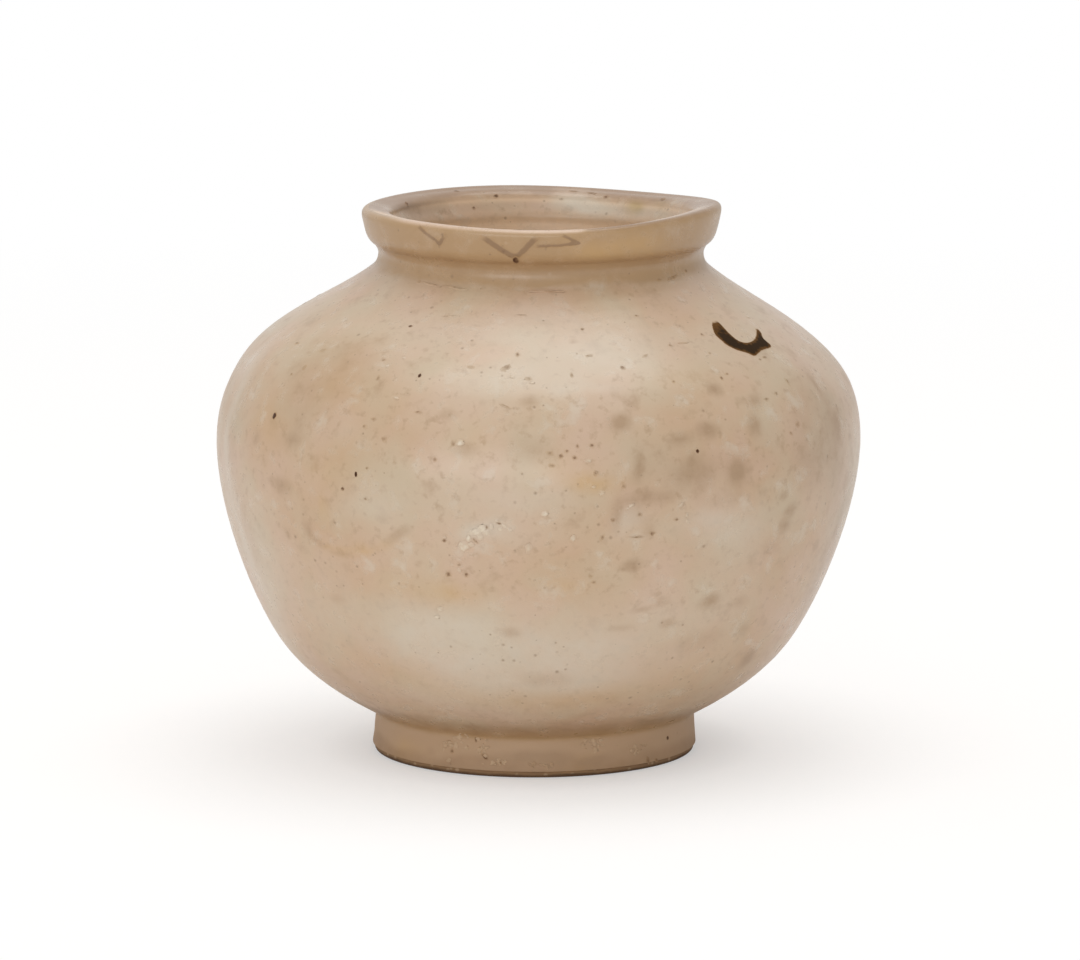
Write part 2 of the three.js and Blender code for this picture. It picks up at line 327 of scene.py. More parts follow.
    def rim_outside(self) -> list[Vector]:
        """Draws the rim's outside and its underside.

        Returns:
            Its outline, up to the crest of the lip.
        """
        start = at(self.rim_root_radius, self.rim_base)
        band_base = at(self.rim_radius - self.rim_slant, self.rim_base + self.rim_undercut)
        band_top = at(self.rim_radius, self.rim_top - self.lip_outer_round)
        corner = at(start.x + self.undercut_fullness * (band_base.x - start.x), self.rim_base)
        path = curve([start, corner, band_base], self.fine)
        path += curve([band_base, band_top], self.fine)[1:]
        return path + curve([band_top, at(self.rim_radius, self.rim_top), self.crest], self.fine / 2)[1:]

    def rim_inside(self) -> list[Vector]:
        """Draws the sloping lip and the funnel of the mouth.

        Returns:
            Their outline, from the crest down.
        """
        lip_corner = at(self.rim_radius - self.lip_width, self.rim_top - self.lip_fall)
        turn = lip_corner.lerp(self.crest, self.lip_inner_round / (self.crest - lip_corner).length)
        funnel_top = lip_corner - at(0, self.lip_inner_round)
        throat = at(self.mouth_root.x, (funnel_top.y + self.rim_base) / 2)
        path = curve([self.crest, turn], self.fine)
        path += curve([turn, lip_corner, funnel_top], self.fine / 2)[1:]
        return path + curve([funnel_top, throat, self.mouth_root], self.fine)[1:]

    def collar_inside(self) -> list[Vector]:
        """Draws the neck's inside.

        Returns:
            Its outline, from the rim down to the shoulder.
        """
        start = at(self.mouth_root.x, self.collar_top)
        throat = at(self.throat_radius, self.waist.y)
        return curve([start, throat, at(self.throat_radius, self.collar_base)], 2 * self.fine)

    def upper_inside(self) -> list[Vector]:
        """Draws the upper body's inside.

        Returns:
            Its outline, from the throat down to the belly.
        """
        wall = thicken(self.upper_outside(), -self.wall)[::-1]
        rise = (wall[0].x - self.throat_radius) * self.shoulder_slope
        corner = at(self.throat_radius, wall[0].y + rise)
        path = curve([at(self.throat_radius, self.upper_top), corner, wall[0]], 2 * self.fine)
        return path + wall[1:]

    def lower_inside(self) -> list[Vector]:
        """Draws the lower body's inside.

        Returns:
            Its outline, from the belly to the middle of the floor.
        """
        wall = thicken(self.lower_outside(), -self.wall)[::-1]
        wall = [point for point in wall if point.y > self.floor_top + self.cove_rise]
        start = wall[-1]
        slope = (start - wall[-2]).normalized()
        length = (self.floor_top - start.y) / slope.y
        corner = at(start.x + length * slope.x, self.floor_top)
        floor_edge = at(corner.x - length, self.floor_top)
        path = wall + curve([start, corner, floor_edge], self.coarse)[1:]
        return path + curve([floor_edge, at(0, self.floor_top)], 2 * self.coarse)[1:]

    def outer_face(self) -> list[Vector]:
        """Returns the clay under the outer glaze, from the foot's wiped edge up to the crest."""
        return [*self.foot_wall(), *self.lower_outside(), *self.upper_outside(),
                *self.collar_outside(), *self.rim_outside()]

    def inner_face(self) -> list[Vector]:
        """Returns the clay under the inner glaze, from the crest down to the middle of the floor."""
        return [*self.rim_inside(), *self.collar_inside(), *self.upper_inside(), *self.lower_inside()]


@dataclass(frozen=True)
class LipWave:
    """One wave of the lip's height around the mouth: how many crests, how high and where."""

    crests: int
    height: float
    azimuth: float


@dataclass(frozen=True)
class Throwing:
    """Uneven throwing and firing: the jar leans, its shoulder has slumped and its lip waves."""

    shape: JarShape
    lean: float = 0.8
    drift: float = -0.9
    drift_share: float = 0.685
    drift_span: float = 12.0
    waves: tuple[LipWave, ...] = (
        LipWave(1, 0.442, -63.8),
        LipWave(2, 0.387, -18.5),
        LipWave(3, 0.331, -16.4),
    )

    def place(self, point: Vector) -> Vector:
        """Moves a point as the throwing and the firing did.

        Args:
            point: A point of the evenly thrown jar, in millimetres.

        Returns:
            Where it ends up.
        """
        shape = self.shape
        middle = shape.upper_base + self.drift_share * (shape.upper_top - shape.upper_base)
        turn = min(max((point.z - middle) / self.drift_span, -1), 1) * math.pi / 2
        sideways = math.tan(math.radians(self.lean)) * (point.z - shape.lower_top)
        sideways += self.drift * math.cos(turn) ** 2
        rise = min(max((point.z - shape.rim_base) / shape.rim_height, 0), 1)
        around = math.atan2(point.y, point.x)
        wave = sum(w.height * math.cos(w.crests * (around - math.radians(w.azimuth))) for w in self.waves)
        return point + Vector((sideways, 0, rise * wave))

    def warp(self, bm: bmesh.types.BMesh) -> None:
        """Moves every vertex of an evenly thrown shape, in millimetres, to where it ends up."""
        for vert in bm.verts:
            vert.co = self.place(vert.co)


@dataclass(frozen=True)
class PhotoCamera:
    """The photograph's long lens, a little over the jar's rim."""

    width: int = 1080
    height: int = 960
    focal_length: float = 8052.5
    elevation: float = 9.62
    distance: float = 1500.0
    target_height: float = 50.0
    target_x: float = 538.5
    target_y: float = 482.4
    sensor: float = 36.0

    @property
    def forward(self) -> Vector:
        """Returns the direction in which the camera looks."""
        angle = math.radians(self.elevation)
        return Vector((0, math.cos(angle), -math.sin(angle)))

    @property
    def pixels_per_mm(self) -> float:
        """Returns the scale of the photograph at the jar."""
        return self.focal_length / self.distance

    @property
    def location(self) -> Vector:
        """Returns the camera's place in millimetres."""
        return Vector((0, 0, self.target_height)) - self.distance * self.forward

    def ray(self, x: float, y: float) -> Vector:
        """Finds the direction from the camera through a place of the photograph.

        Args:
            x: The pixel's column.
            y: The pixel's row.

        Returns:
            The direction, one long.
        """
        right = Vector((1, 0, 0))
        upward = right.cross(self.forward)
        offset = (x - self.target_x) * right - (y - self.target_y) * upward
        return (self.focal_length * self.forward + offset).normalized()

    def build(self) -> None:
        """Makes the camera and gives it to the scene."""
        lens = bpy.data.cameras.new("long_lens")
        lens.sensor_width = self.sensor
        lens.lens = self.focal_length / self.width * self.sensor
        lens.shift_x = (self.width / 2 - self.target_x) / self.width
        lens.shift_y = (self.target_y - self.height / 2) / self.width
        lens.clip_end = 20
        camera = bpy.data.objects.new("long_lens", lens)
        camera.location = self.location * MM
        camera.rotation_euler = (math.radians(90 - self.elevation), 0, 0)
        bpy.context.scene.collection.objects.link(camera)
        bpy.context.scene.camera = camera


def linear(colour: str, alpha: float = 1.0) -> tuple[float, float, float, float]:
    """Turns an sRGB hex colour into the linear values that shaders take."""
    values = [int(colour[k:k + 2], 16) / 255 for k in (1, 3, 5)]
    return (*(v / 12.92 if v <= 0.04045 else ((v + 0.055) / 1.055) ** 2.4 for v in values), alpha)


def add_node(tree: bpy.types.NodeTree, kind: str, inputs: dict | None = None,
             **settings: object) -> bpy.types.Node:
    """Adds one node with its settings and links.

    Args:
        tree: The node tree that the node goes into.
        kind: The node's type name.
        inputs: Each input's name or number with the socket to link to it or the value to set.
        settings: The node's own properties.

    Returns:
        The new node.
    """
    node = tree.nodes.new(kind)
    for name, value in settings.items():
        setattr(node, name, value)
    for name, value in (inputs or {}).items():
        if isinstance(value, bpy.types.NodeSocket):
            tree.links.new(value, node.inputs[name])
        else:
            node.inputs[name].default_value = value
    return node


def new_material(name: str) -> tuple[bpy.types.Material, bpy.types.NodeTree]:
    """Makes an empty material.

    Args:
        name: The finish's name.

    Returns:
        The material and its emptied node tree.
    """
    material = bpy.data.materials.new(name)
    material.use_nodes = True
    material.node_tree.nodes.clear()
    return material, material.node_tree


def millimetres(tree: bpy.types.NodeTree) -> bpy.types.NodeSocket:
    """Returns the socket of the surface point in millimetres, in the jar's own frame."""
    place = add_node(tree, "ShaderNodeTexCoord").outputs["Object"]
    return add_node(tree, "ShaderNodeVectorMath", {0: place, "Scale": 1 / MM}, operation="SCALE").outputs[0]


def tint(tree: bpy.types.NodeTree, ground: str, tints: list[tuple]) -> bpy.types.NodeSocket:
    """Lays tints over a colour, one after another.

    Args:
        tree: The node tree of the material.
        ground: The sRGB hex colour under them all.
        tints: For each its hex colour, the socket that it follows, the socket's values where the tint
            starts and where it is full, and the full tint's share.

    Returns:
        The socket of the tinted colour.
    """
    colour = linear(ground)
    for hue, source, start, full, most in tints:
        share = add_node(tree, "ShaderNodeMapRange", {
            "Value": source, "From Min": start, "From Max": full, "To Max": most})
        mixed = add_node(tree, "ShaderNodeMix", {
            0: share.outputs[0], MIX_FIRST: colour, MIX_SECOND: linear(hue)}, data_type="RGBA")
        colour = mixed.outputs[MIX_RESULT]
    return colour


class Tone(Enum):
    """Soft patches in the glaze, each kept as an attribute of the mesh."""

    # Some tones also carry painted light: milk paints highlights, reflections and light, stain and edge
    # paint shade, lip paints the highlight along the front of the lip, and thin paints light inside the
    # mouth
    MILK_AND_LIGHT = "milk"
    OCHRE = "ochre"
    STAIN_AND_SHADE = "stain"
    THIN = "thin"
    MATT = "matt"
    EDGE = "edge"
    LIP_AND_HIGHLIGHT = "lip"


PIGMENT = "pigment"


@dataclass(frozen=True)
class Band:
    """A soft band of a tone across the glaze, in millimetres: where it starts, is strongest and ends."""

    start: float
    peak: float
    end: float
    strength: float = 1.0

    def share(self, distance: float) -> float:
        """Returns the tone's strength at a distance."""
        return self.strength * ridge(self.start, self.peak, self.end, distance)


@dataclass(frozen=True)
class AshGlaze:
    """Buff ash glaze, dipped and fired in a smoky kiln: cloudy, pinholed, satin where it is thick.

    The eye gets a warm milky buff that turns brown where the glaze is thin over the clay, soft broad
    highlights, and many small pits and iron spots.
    """

    name: str = "ash_glaze_buff"
    body: str = "#cdb49a"
    warm: str = "#c5a584"
    green: str = "#c4b69a"
    rose: str = "#cfb09b"
    # Besides the glaze's own colours, milk also paints highlights and light, edge and stain also paint
    # shade, and lip also paints the highlight along the front of the lip
    milk: str = "#d4c8b6"
    ochre: str = "#c8a26c"
    thin: str = "#b3926b"
    bare: str = "#bc9d7d"
    edge: str = "#8f6c4a"
    stain: str = "#a98b6c"
    pit: str = "#8a6f54"
    fleck: str = "#dccab3"
    lip: str = "#dcc0a8"
    cloud_size: float = 26.0
    patch_size: float = 11.0
    mottle_size: float = 4.5
    speckle_size: float = 1.7
    pit_spacing: float = 1.9
    pit_radius: float = 0.5
    pit_shift: float = 5.2
    pit_share: float = 0.75
    pit_height: float = -0.04
    fleck_spacing: float = 3.61
    fleck_radius: float = 0.65
    fleck_shift: float = 1.4
    fleck_share: float = 0.2
    peel_size: float = 3.4
    peel_height: float = 0.05
    grain_size: float = 0.9
    grain_height: float = 0.012
    roughness: float = 0.28
    glossier: float = 0.08
    duller: float = 0.1
    matt_roughness: float = 0.3
    unevenness: float = 0.3
    ior: float = 1.55

    def weave(self, tree: bpy.types.NodeTree) -> dict[str, bpy.types.NodeSocket]:
        """Builds the glaze's colour, roughness and relief.

        Args:
            tree: The node tree of the material.

        Returns:
            The sockets for "colour", "roughness" and "relief", the last in millimetres.
        """
        place = millimetres(tree)
        tones = {
            tone: add_node(tree, "ShaderNodeAttribute", attribute_name=tone.value).outputs["Fac"]
            for tone in Tone
        }
        noises = {}
        for name, size, shift, detail, roughness in (
            ("cloud", self.cloud_size, {}, 3.0, 0.55),
            ("patch", self.patch_size, {"W": 3.7}, 2.0, 0.5),
            ("mottle", self.mottle_size, {"W": 9.1}, 4.0, 0.6),
            ("speckle", self.speckle_size, {"W": 5.3}, 3.0, 0.6),
            ("grain", self.grain_size, {}, 2.0, 0.5),
            ("peel", self.peel_size, {}, 1.0, 0.5),
        ):
            noises[name] = add_node(tree, "ShaderNodeTexNoise", {
                "Vector": place, "Scale": 1 / size, "Detail": detail, "Roughness": roughness, **shift},
                noise_dimensions="4D" if shift else "3D").outputs[0]
        ragged = add_node(tree, "ShaderNodeMapRange", {
            "Value": noises["mottle"], "From Min": 0.3, "From Max": 0.7, "To Min": 1 - self.unevenness,
            "To Max": 1 + self.unevenness}).outputs[0]
        pits = self.pits(tree, place, self.pit_spacing, self.pit_radius, self.pit_shift)
        flecks = self.pits(tree, place, self.fleck_spacing, self.fleck_radius, self.fleck_shift)

        tints = [
            (self.warm, noises["cloud"], 0.38, 0.66, 0.9),
            (self.green, noises["patch"], 0.48, 0.72, 0.5),
            (self.rose, noises["patch"], 0.5, 0.3, 0.45),
            (self.stain, noises["mottle"], 0.56, 0.72, 0.46),
            (self.milk, noises["mottle"], 0.44, 0.3, 0.45),
            (self.stain, noises["speckle"], 0.56, 0.72, 0.5),
        ]
        for hue, tone, start, full, most in (
            (self.thin, Tone.THIN, 0.0, 1.0, 1.0),
            (self.bare, Tone.MATT, 0.0, 1.0, 1.0),
            (self.milk, Tone.MILK_AND_LIGHT, 0.0, 1.25, 0.8),
            (self.ochre, Tone.OCHRE, 0.0, 1.25, 0.8),
            (self.edge, Tone.EDGE, 0.0, 1.0, 1.0),
            (self.stain, Tone.STAIN_AND_SHADE, 0.12, 0.85, 0.76),
            (self.lip, Tone.LIP_AND_HIGHLIGHT, 0.1, 1.0, 0.9),
        ):
            uneven = add_node(tree, "ShaderNodeMath", {0: tones[tone], 1: ragged}, operation="MULTIPLY")
            tints.append((hue, uneven.outputs[0], start, full, most))
        tints.append((self.pit, pits, 0.0, 1.0, self.pit_share))
        tints.append((self.fleck, flecks, 0.0, 1.0, self.fleck_share))

        gloss = add_node(tree, "ShaderNodeMapRange", {
            "Value": noises["mottle"], "To Min": self.roughness - self.glossier,
            "To Max": self.roughness + self.duller}).outputs[0]
        rough = add_node(tree, "ShaderNodeMath", {
            0: tones[Tone.MATT], 1: self.matt_roughness, 2: gloss}, operation="MULTIPLY_ADD")
        relief = 0.0
        for source, height in (
            (noises["peel"], self.peel_height),
            (noises["grain"], self.grain_height),
            (pits, self.pit_height),
        ):
            relief = add_node(tree, "ShaderNodeMath", {0: source, 1: height, 2: relief},
                              operation="MULTIPLY_ADD").outputs[0]
        return {"colour": tint(tree, self.body, tints), "roughness": rough.outputs[0], "relief": relief}

    def pits(self, tree: bpy.types.NodeTree, place: bpy.types.NodeSocket, spacing: float, radius: float,
             shift: float) -> bpy.types.NodeSocket:
        """Scatters small round pits of many sizes, in loose crowds.

        Args:
            tree: The node tree of the material.
            place: The surface point in millimetres.
            spacing: The mean distance between pits, in millimetres.
            radius: The largest pit's radius, in millimetres.
            shift: How far the pattern is shifted, in units of the spacing.

        Returns:
            The socket of the pit's depth, from 0 to 1.
        """
        shifted = add_node(tree, "ShaderNodeVectorMath", {
            0: place, 1: (shift * spacing,) * 3}, operation="ADD")
        cells = add_node(tree, "ShaderNodeTexVoronoi", {"Vector": shifted.outputs[0], "Scale": 1 / spacing})
        chance = add_node(tree, "ShaderNodeSeparateColor", {0: cells.outputs["Color"]})
        crowd = add_node(tree, "ShaderNodeTexNoise", {
            "Vector": shifted.outputs[0], "Scale": 1 / self.patch_size, "Detail": 1.0})
        thick = add_node(tree, "ShaderNodeMapRange", {
            "Value": crowd.outputs[0], "From Min": 0.36, "From Max": 0.62, "To Max": radius / spacing})
        reach = add_node(tree, "ShaderNodeMath", {0: chance.outputs[0], 1: thick.outputs[0], 2: 0.001},
                         operation="MULTIPLY_ADD")
        depth = add_node(tree, "ShaderNodeMapRange", {
            "Value": cells.outputs["Distance"], "From Min": reach.outputs[0], "From Max": 0.0})
        return depth.outputs[0]

    def finish(self, tree: bpy.types.NodeTree, woven: dict[str, bpy.types.NodeSocket],
               specular: float = 0.5) -> None:
        """Joins the glaze's colour, roughness and relief to its shader.

        Args:
            tree: The node tree of the material.
            woven: The sockets that weave gives.
            specular: How strongly the surface reflects, where 0.5 is as strongly as glass.
        """
        bump = add_node(tree, "ShaderNodeBump", {"Height": woven["relief"], "Distance": MM})
        shader = add_node(tree, "ShaderNodeBsdfPrincipled", {
            "Base Color": woven["colour"], "Roughness": woven["roughness"], "Normal": bump.outputs[0],
            "IOR": self.ior, "Specular IOR Level": specular})
        add_node(tree, "ShaderNodeOutputMaterial", {"Surface": shader.outputs[0]})

    def material(self) -> bpy.types.Material:
        """Makes the glaze's material.

        Returns:
            The material.
        """
        material, tree = new_material(self.name)
        self.finish(tree, self.weave(tree))
        return material


# Inside, the same glaze is thinner and browner. Its pale thin colour is painted light that lifts the
# shaded throat, where it is palest, and the crease under the lip, and carries the painted highlight of the
# front lip; its dark lip colour is painted shade on the far lip's top, and its milk also paints a highlight
INNER_ASH = AshGlaze(name="ash_glaze_thin", body="#cbae92", warm="#be9e7f", thin="#edc8a1", milk="#e0d8c6",
                     ochre="#b59a5e", lip="#a08268", stain="#8f7050")


@dataclass(frozen=True)
class IronPaint:
    """Iron oxide, brushed on or out of the clay: black-brown where it is thick, soft brown at its edges.

    A mesh attribute says how much of it there is. Where there is none the glaze shows as it is elsewhere.
    """

    name: str
    glaze: AshGlaze
    core: str
    edge: str
    cover: float = 1.0
    full_from: float = 0.9
    thick_from: float = 1.2
    bristle_size: float = 0.8
    raggedness: float = 0.4
    roughness: float = 0.0
    specular: float = 0.5

    def material(self) -> bpy.types.Material:
        """Makes the paint's material, which fades into the glaze under it.

        Returns:
            The material.
        """
        material, tree = new_material(self.name)
        woven = self.glaze.weave(tree)
        place = millimetres(tree)
        pigment = add_node(tree, "ShaderNodeAttribute", attribute_name=PIGMENT).outputs["Fac"]
        brush = add_node(tree, "ShaderNodeTexNoise", {
            "Vector": place, "Scale": 1 / self.bristle_size, "Detail": 3.0})
        ragged = add_node(tree, "ShaderNodeMapRange", {
            "Value": brush.outputs[0], "From Min": 0.25, "From Max": 0.75, "To Min": 1 - self.raggedness,
            "To Max": 1 + self.raggedness})
        load = add_node(tree, "ShaderNodeMath", {0: pigment, 1: ragged.outputs[0]},
                        operation="MULTIPLY").outputs[0]
        covered = add_node(tree, "ShaderNodeMapRange", {
            "Value": load, "From Max": self.full_from, "To Max": self.cover},
            interpolation_type="SMOOTHSTEP").outputs[0]
        iron = tint(tree, self.edge, [(self.core, load, self.full_from / 2, self.thick_from, 1.0)])
        colour = add_node(tree, "ShaderNodeMix", {
            0: covered, MIX_FIRST: woven["colour"], MIX_SECOND: iron}, data_type="RGBA")
        rough = add_node(tree, "ShaderNodeMath", {
            0: covered, 1: self.roughness, 2: woven["roughness"]}, operation="MULTIPLY_ADD")
        painted = {**woven, "colour": colour.outputs[MIX_RESULT], "roughness": rough.outputs[0]}
        self.glaze.finish(tree, painted, self.specular)
        return material


@dataclass(frozen=True)
class FiredStoneware:
    """Buff stoneware clay, thrown and fired bare.

    The eye gets a dry, matt and gritty surface with paler grog, dark iron grains and scorched patches.
    """

    name: str = "fired_stoneware"
    body: str = "#a68868"
    scorched: str = "#7c5d43"
    grog: str = "#c4a888"
    iron: str = "#46301f"
    worn: str = "#5f4630"
    worn_below: float = -5.0
    scorch_size: float = 9.0
    grog_spacing: float = 1.6
    iron_sparseness: float = 2.2
    grain_size: float = 0.5
    grain_height: float = 0.12
    roughness: float = 0.88

    def material(self) -> bpy.types.Material:
        """Makes the bare clay's material.

        Returns:
            The material.
        """
        material, tree = new_material(self.name)
        place = millimetres(tree)
        scorch = add_node(tree, "ShaderNodeTexNoise", {
            "Vector": place, "Scale": 1 / self.scorch_size, "Detail": 4.0, "Roughness": 0.6}).outputs["Fac"]
        grog = add_node(tree, "ShaderNodeTexVoronoi", {"Vector": place, "Scale": 1 / self.grog_spacing})
        iron = add_node(tree, "ShaderNodeTexVoronoi", {
            "Vector": place, "W": 2.0, "Scale": 1 / (self.iron_sparseness * self.grog_spacing)},
            voronoi_dimensions="4D")
        height = add_node(tree, "ShaderNodeSeparateXYZ", {0: place}).outputs["Z"]
        wear = add_node(tree, "ShaderNodeMath", {0: scorch, 1: 1.0, 2: height}, operation="MULTIPLY_ADD")
        colour = tint(tree, self.body, [
            (self.scorched, scorch, 0.35, 0.7, 1.0),
            (self.grog, grog.outputs["Distance"], 0.32, 0.2, 0.6),
            (self.iron, iron.outputs["Distance"], 0.16, 0.08, 1.0),
            (self.worn, wear.outputs[0], self.worn_below + 0.8, self.worn_below + 0.4, 1.0),
        ])
        grain = add_node(tree, "ShaderNodeTexNoise", {
            "Vector": place, "Scale": 1 / self.grain_size, "Detail": 3.0, "Roughness": 0.65})
        relief = add_node(tree, "ShaderNodeMath", {
            0: grain.outputs["Fac"], 1: self.grain_height}, operation="MULTIPLY")
        bump = add_node(tree, "ShaderNodeBump", {"Height": relief.outputs[0], "Distance": MM})
        shader = add_node(tree, "ShaderNodeBsdfPrincipled", {
            "Base Color": colour, "Roughness": self.roughness, "Normal": bump.outputs[0]})
        add_node(tree, "ShaderNodeOutputMaterial", {"Surface": shader.outputs[0]})
        return material


def spin(outline: list[Vector], steps: int,
         tags: dict[str, list[float]] | None = None) -> bmesh.types.BMesh:
    """Spins an outline about the upright axis into a closed shape.

    Args:
        outline: Its points. An outline that starts on the axis also ends on it, and any other is closed.
        steps: How many faces go round the axis.
        tags: Values for each point of the outline, kept as float attributes of the mesh.

    Returns:
        The shape in millimetres, with its faces pointing out.
    """
    bm = bmesh.new()
    layers = {name: bm.verts.layers.float.new(name) for name in tags or {}}
    verts = [bm.verts.new((point.x, 0, point.y)) for point in outline]
    for name, layer in layers.items():
        for vert, value in zip(verts, tags[name]):
            vert[layer] = value
    ends = verts[1:] if outline[0].x == 0 else verts[1:] + verts[:1]
    edges = [bm.edges.new(pair) for pair in zip(verts, ends)]
    bmesh.ops.spin(bm, geom=verts + edges, cent=(0, 0, 0), axis=UP, angle=FULL_TURN, steps=steps,
                   use_merge=True)
    bmesh.ops.remove_doubles(bm, verts=bm.verts, dist=WELD)
    bmesh.ops.recalc_face_normals(bm, faces=bm.faces)
    return bm


def finish_piece(bm: bmesh.types.BMesh, name: str, material: bpy.types.Material, slot: str,
                 replaced: tuple[str, ...] = (), sharp: float = 50.0) -> bpy.types.Object:
    """Turns a shape in millimetres into a piece of the jar.

    Args:
        bm: The shape, which is freed.
        name: The piece's name.
        material: The piece's finish.
        slot: The record's material slot that it belongs to. It is not used.
        replaced: The CAD nodes that the piece stands for.
        sharp: Edges that turn by more than this many degrees stay crisp.

    Returns:
        The finished piece.
    """
    bmesh.ops.scale(bm, vec=(MM, MM, MM), verts=bm.verts)
    mesh = bpy.data.meshes.new(name)
    bm.to_mesh(mesh)
    bm.free()
    mesh.shade_smooth()
    mesh.set_sharp_from_angle(angle=math.radians(sharp))
    mesh.materials.append(material)
    piece = bpy.data.objects.new(name, mesh)
    bpy.context.scene.collection.objects.link(piece)
    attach(piece, BODY)
    if replaced:
        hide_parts(*replaced)
    log.info("%s: %d faces, stands for %s", name, len(mesh.polygons), ", ".join(replaced) or "nothing")
    return piece


@dataclass
class ClayBody:
    """The thrown clay sections, smooth, with the slip seams between them."""

    shape: JarShape
    throwing: Throwing
    steps: int = 160
    turning_pitch: float = 1.6
    turning_depth: float = 0.12
    turned_share: float = 0.9
    nipple_radius: float = 7.0
    nipple_height: float = 0.5

    def build(self) -> None:
        """Makes every section and dresses the slip."""
        clay = FiredStoneware().material()
        # The foot is browner from the fire and worn dark where it stands, and the slip is finer and paler
        foot = FiredStoneware(
            name="scorched_foot_clay", body="#9f7f5c", scorched="#8a6c4e", worn_below=0.5).material()
        slip = FiredStoneware(
            name="fired_slip", body="#c3ab8c", scorched="#b2977a", grog_spacing=2.4).material()
        shape = self.shape
        upper = shape.upper_outside() + shape.upper_inside()
        neck = shape.collar_outside() + shape.collar_inside()
        rim = shape.rim_outside() + shape.rim_inside()[1:]
        sections = (
            ("turned_foot", "foot_ring", self.foot_outline(), foot, "foot_clay"),
            ("thrown_lower_body", "lower_body", self.lower_outline(), clay, "body_clay"),
            ("thrown_upper_body", "upper_body", upper, clay, "body_clay"),
            ("thrown_neck", "neck_collar", neck, clay, "body_clay"),
            ("rolled_rim", "mouth_rim", rim, clay, "body_clay"),
        )
        for name, node, outline, material, slot in sections:
            bm = spin(outline, self.steps)
            self.throwing.warp(bm)
            finish_piece(bm, name, material, slot, (node,))
        for node in ("foot_slip", "belly_slip", "neck_slip", "rim_slip"):
            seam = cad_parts[node]
            seam.data.materials.clear()
            seam.data.materials.append(slip)
            log.info("%s: the frame's own mesh, %d faces", node, len(seam.data.polygons))

    def foot_outline(self) -> list[Vector]:
        """Draws the turned foot ring, with worn edges where it stands.

        Returns:
            Its closed outline.
        """
        shape = self.shape
        edge = shape.foot_radius
        bore = edge - shape.foot_ring_width
        bevel = shape.foot_bevel
        outer = curve([at(edge - bevel, 0), at(edge, 0), at(edge, bevel)], shape.fine / 2)
        inner = curve([at(bore, bevel), at(bore, 0), at(bore + bevel, 0)], shape.fine / 2)
        return [*outer, *shape.foot_wall(), at(bore, shape.foot_top), *inner]

    def lower_outline(self) -> list[Vector]:
        """Draws the lower body, with the turning marks and the nipple that a trimming tool leaves below.

        Returns:
            Its outline, from the axis to the axis.
        """
        shape = self.shape
        underside = []
        bore = shape.foot_radius - shape.foot_ring_width
        for point in curve([at(0, shape.lower_base), at(bore, shape.lower_base)], shape.fine):
            ring = 0.5 - 0.5 * math.cos(FULL_TURN * point.x / self.turning_pitch)
            fade = 1 - smooth_step(self.turned_share * bore, bore, point.x)
            nipple = 1 - smooth_step(0, self.nipple_radius, point.x)
            rise = fade * (self.turning_depth * ring + self.nipple_height * (1 - nipple))
            underside.append(at(point.x, shape.lower_base + rise))
        return underside + shape.lower_outside() + shape.lower_inside()


@dataclass(frozen=True)
class Mark:
    """A mark in the glaze: its middle in the photograph's pixels, and its real size in millimetres."""

    x: float
    y: float
    width: float
    height: float
    strength: float = 1.0
    turn: float = 0.0


def marks_at(*rows: tuple[float, ...]) -> tuple[Mark, ...]:
    """Returns a mark for each row of x, y, width, height and, where they differ, strength and turn."""
    return tuple(Mark(*row) for row in rows)


@dataclass(frozen=True)
class PlacedMark:
    """A mark on the surface: its middle, its half axes along the surface, and its strength."""

    middle: Vector
    across: Vector
    upward: Vector
    outward: Vector
    strength: float

    def spread(self, points: np.ndarray) -> np.ndarray:
        """Returns each point's distance from the mark's middle, where 1 is the mark's edge.

        Args:
            points: The points in millimetres, one to a row.

        Returns:
            The distances, one for each row.
        """
        axes = np.array([v / v.length_squared for v in (self.across, self.upward, self.outward)])
        return np.linalg.norm((points - np.array(self.middle)) @ axes.T, axis=1)


def vertex_places(mesh: bpy.types.Mesh) -> np.ndarray:
    """Reads where a mesh's vertices are.

    Args:
        mesh: The mesh, in metres.

    Returns:
        The vertices in millimetres, one to a row.
    """
    places = np.empty(3 * len(mesh.vertices), np.float32)
    mesh.vertices.foreach_get("co", places)
    return places.reshape(-1, 3).astype(float) / MM


def write_tone(mesh: bpy.types.Mesh, tone: Tone, values: np.ndarray) -> None:
    """Gives a mesh one of the glaze's tones, clipped to 0 to 1, with one value for each vertex."""
    attribute = mesh.attributes.new(tone.value, "FLOAT", "POINT")
    attribute.data.foreach_set("value", np.clip(values, 0, 1).astype(np.float32))


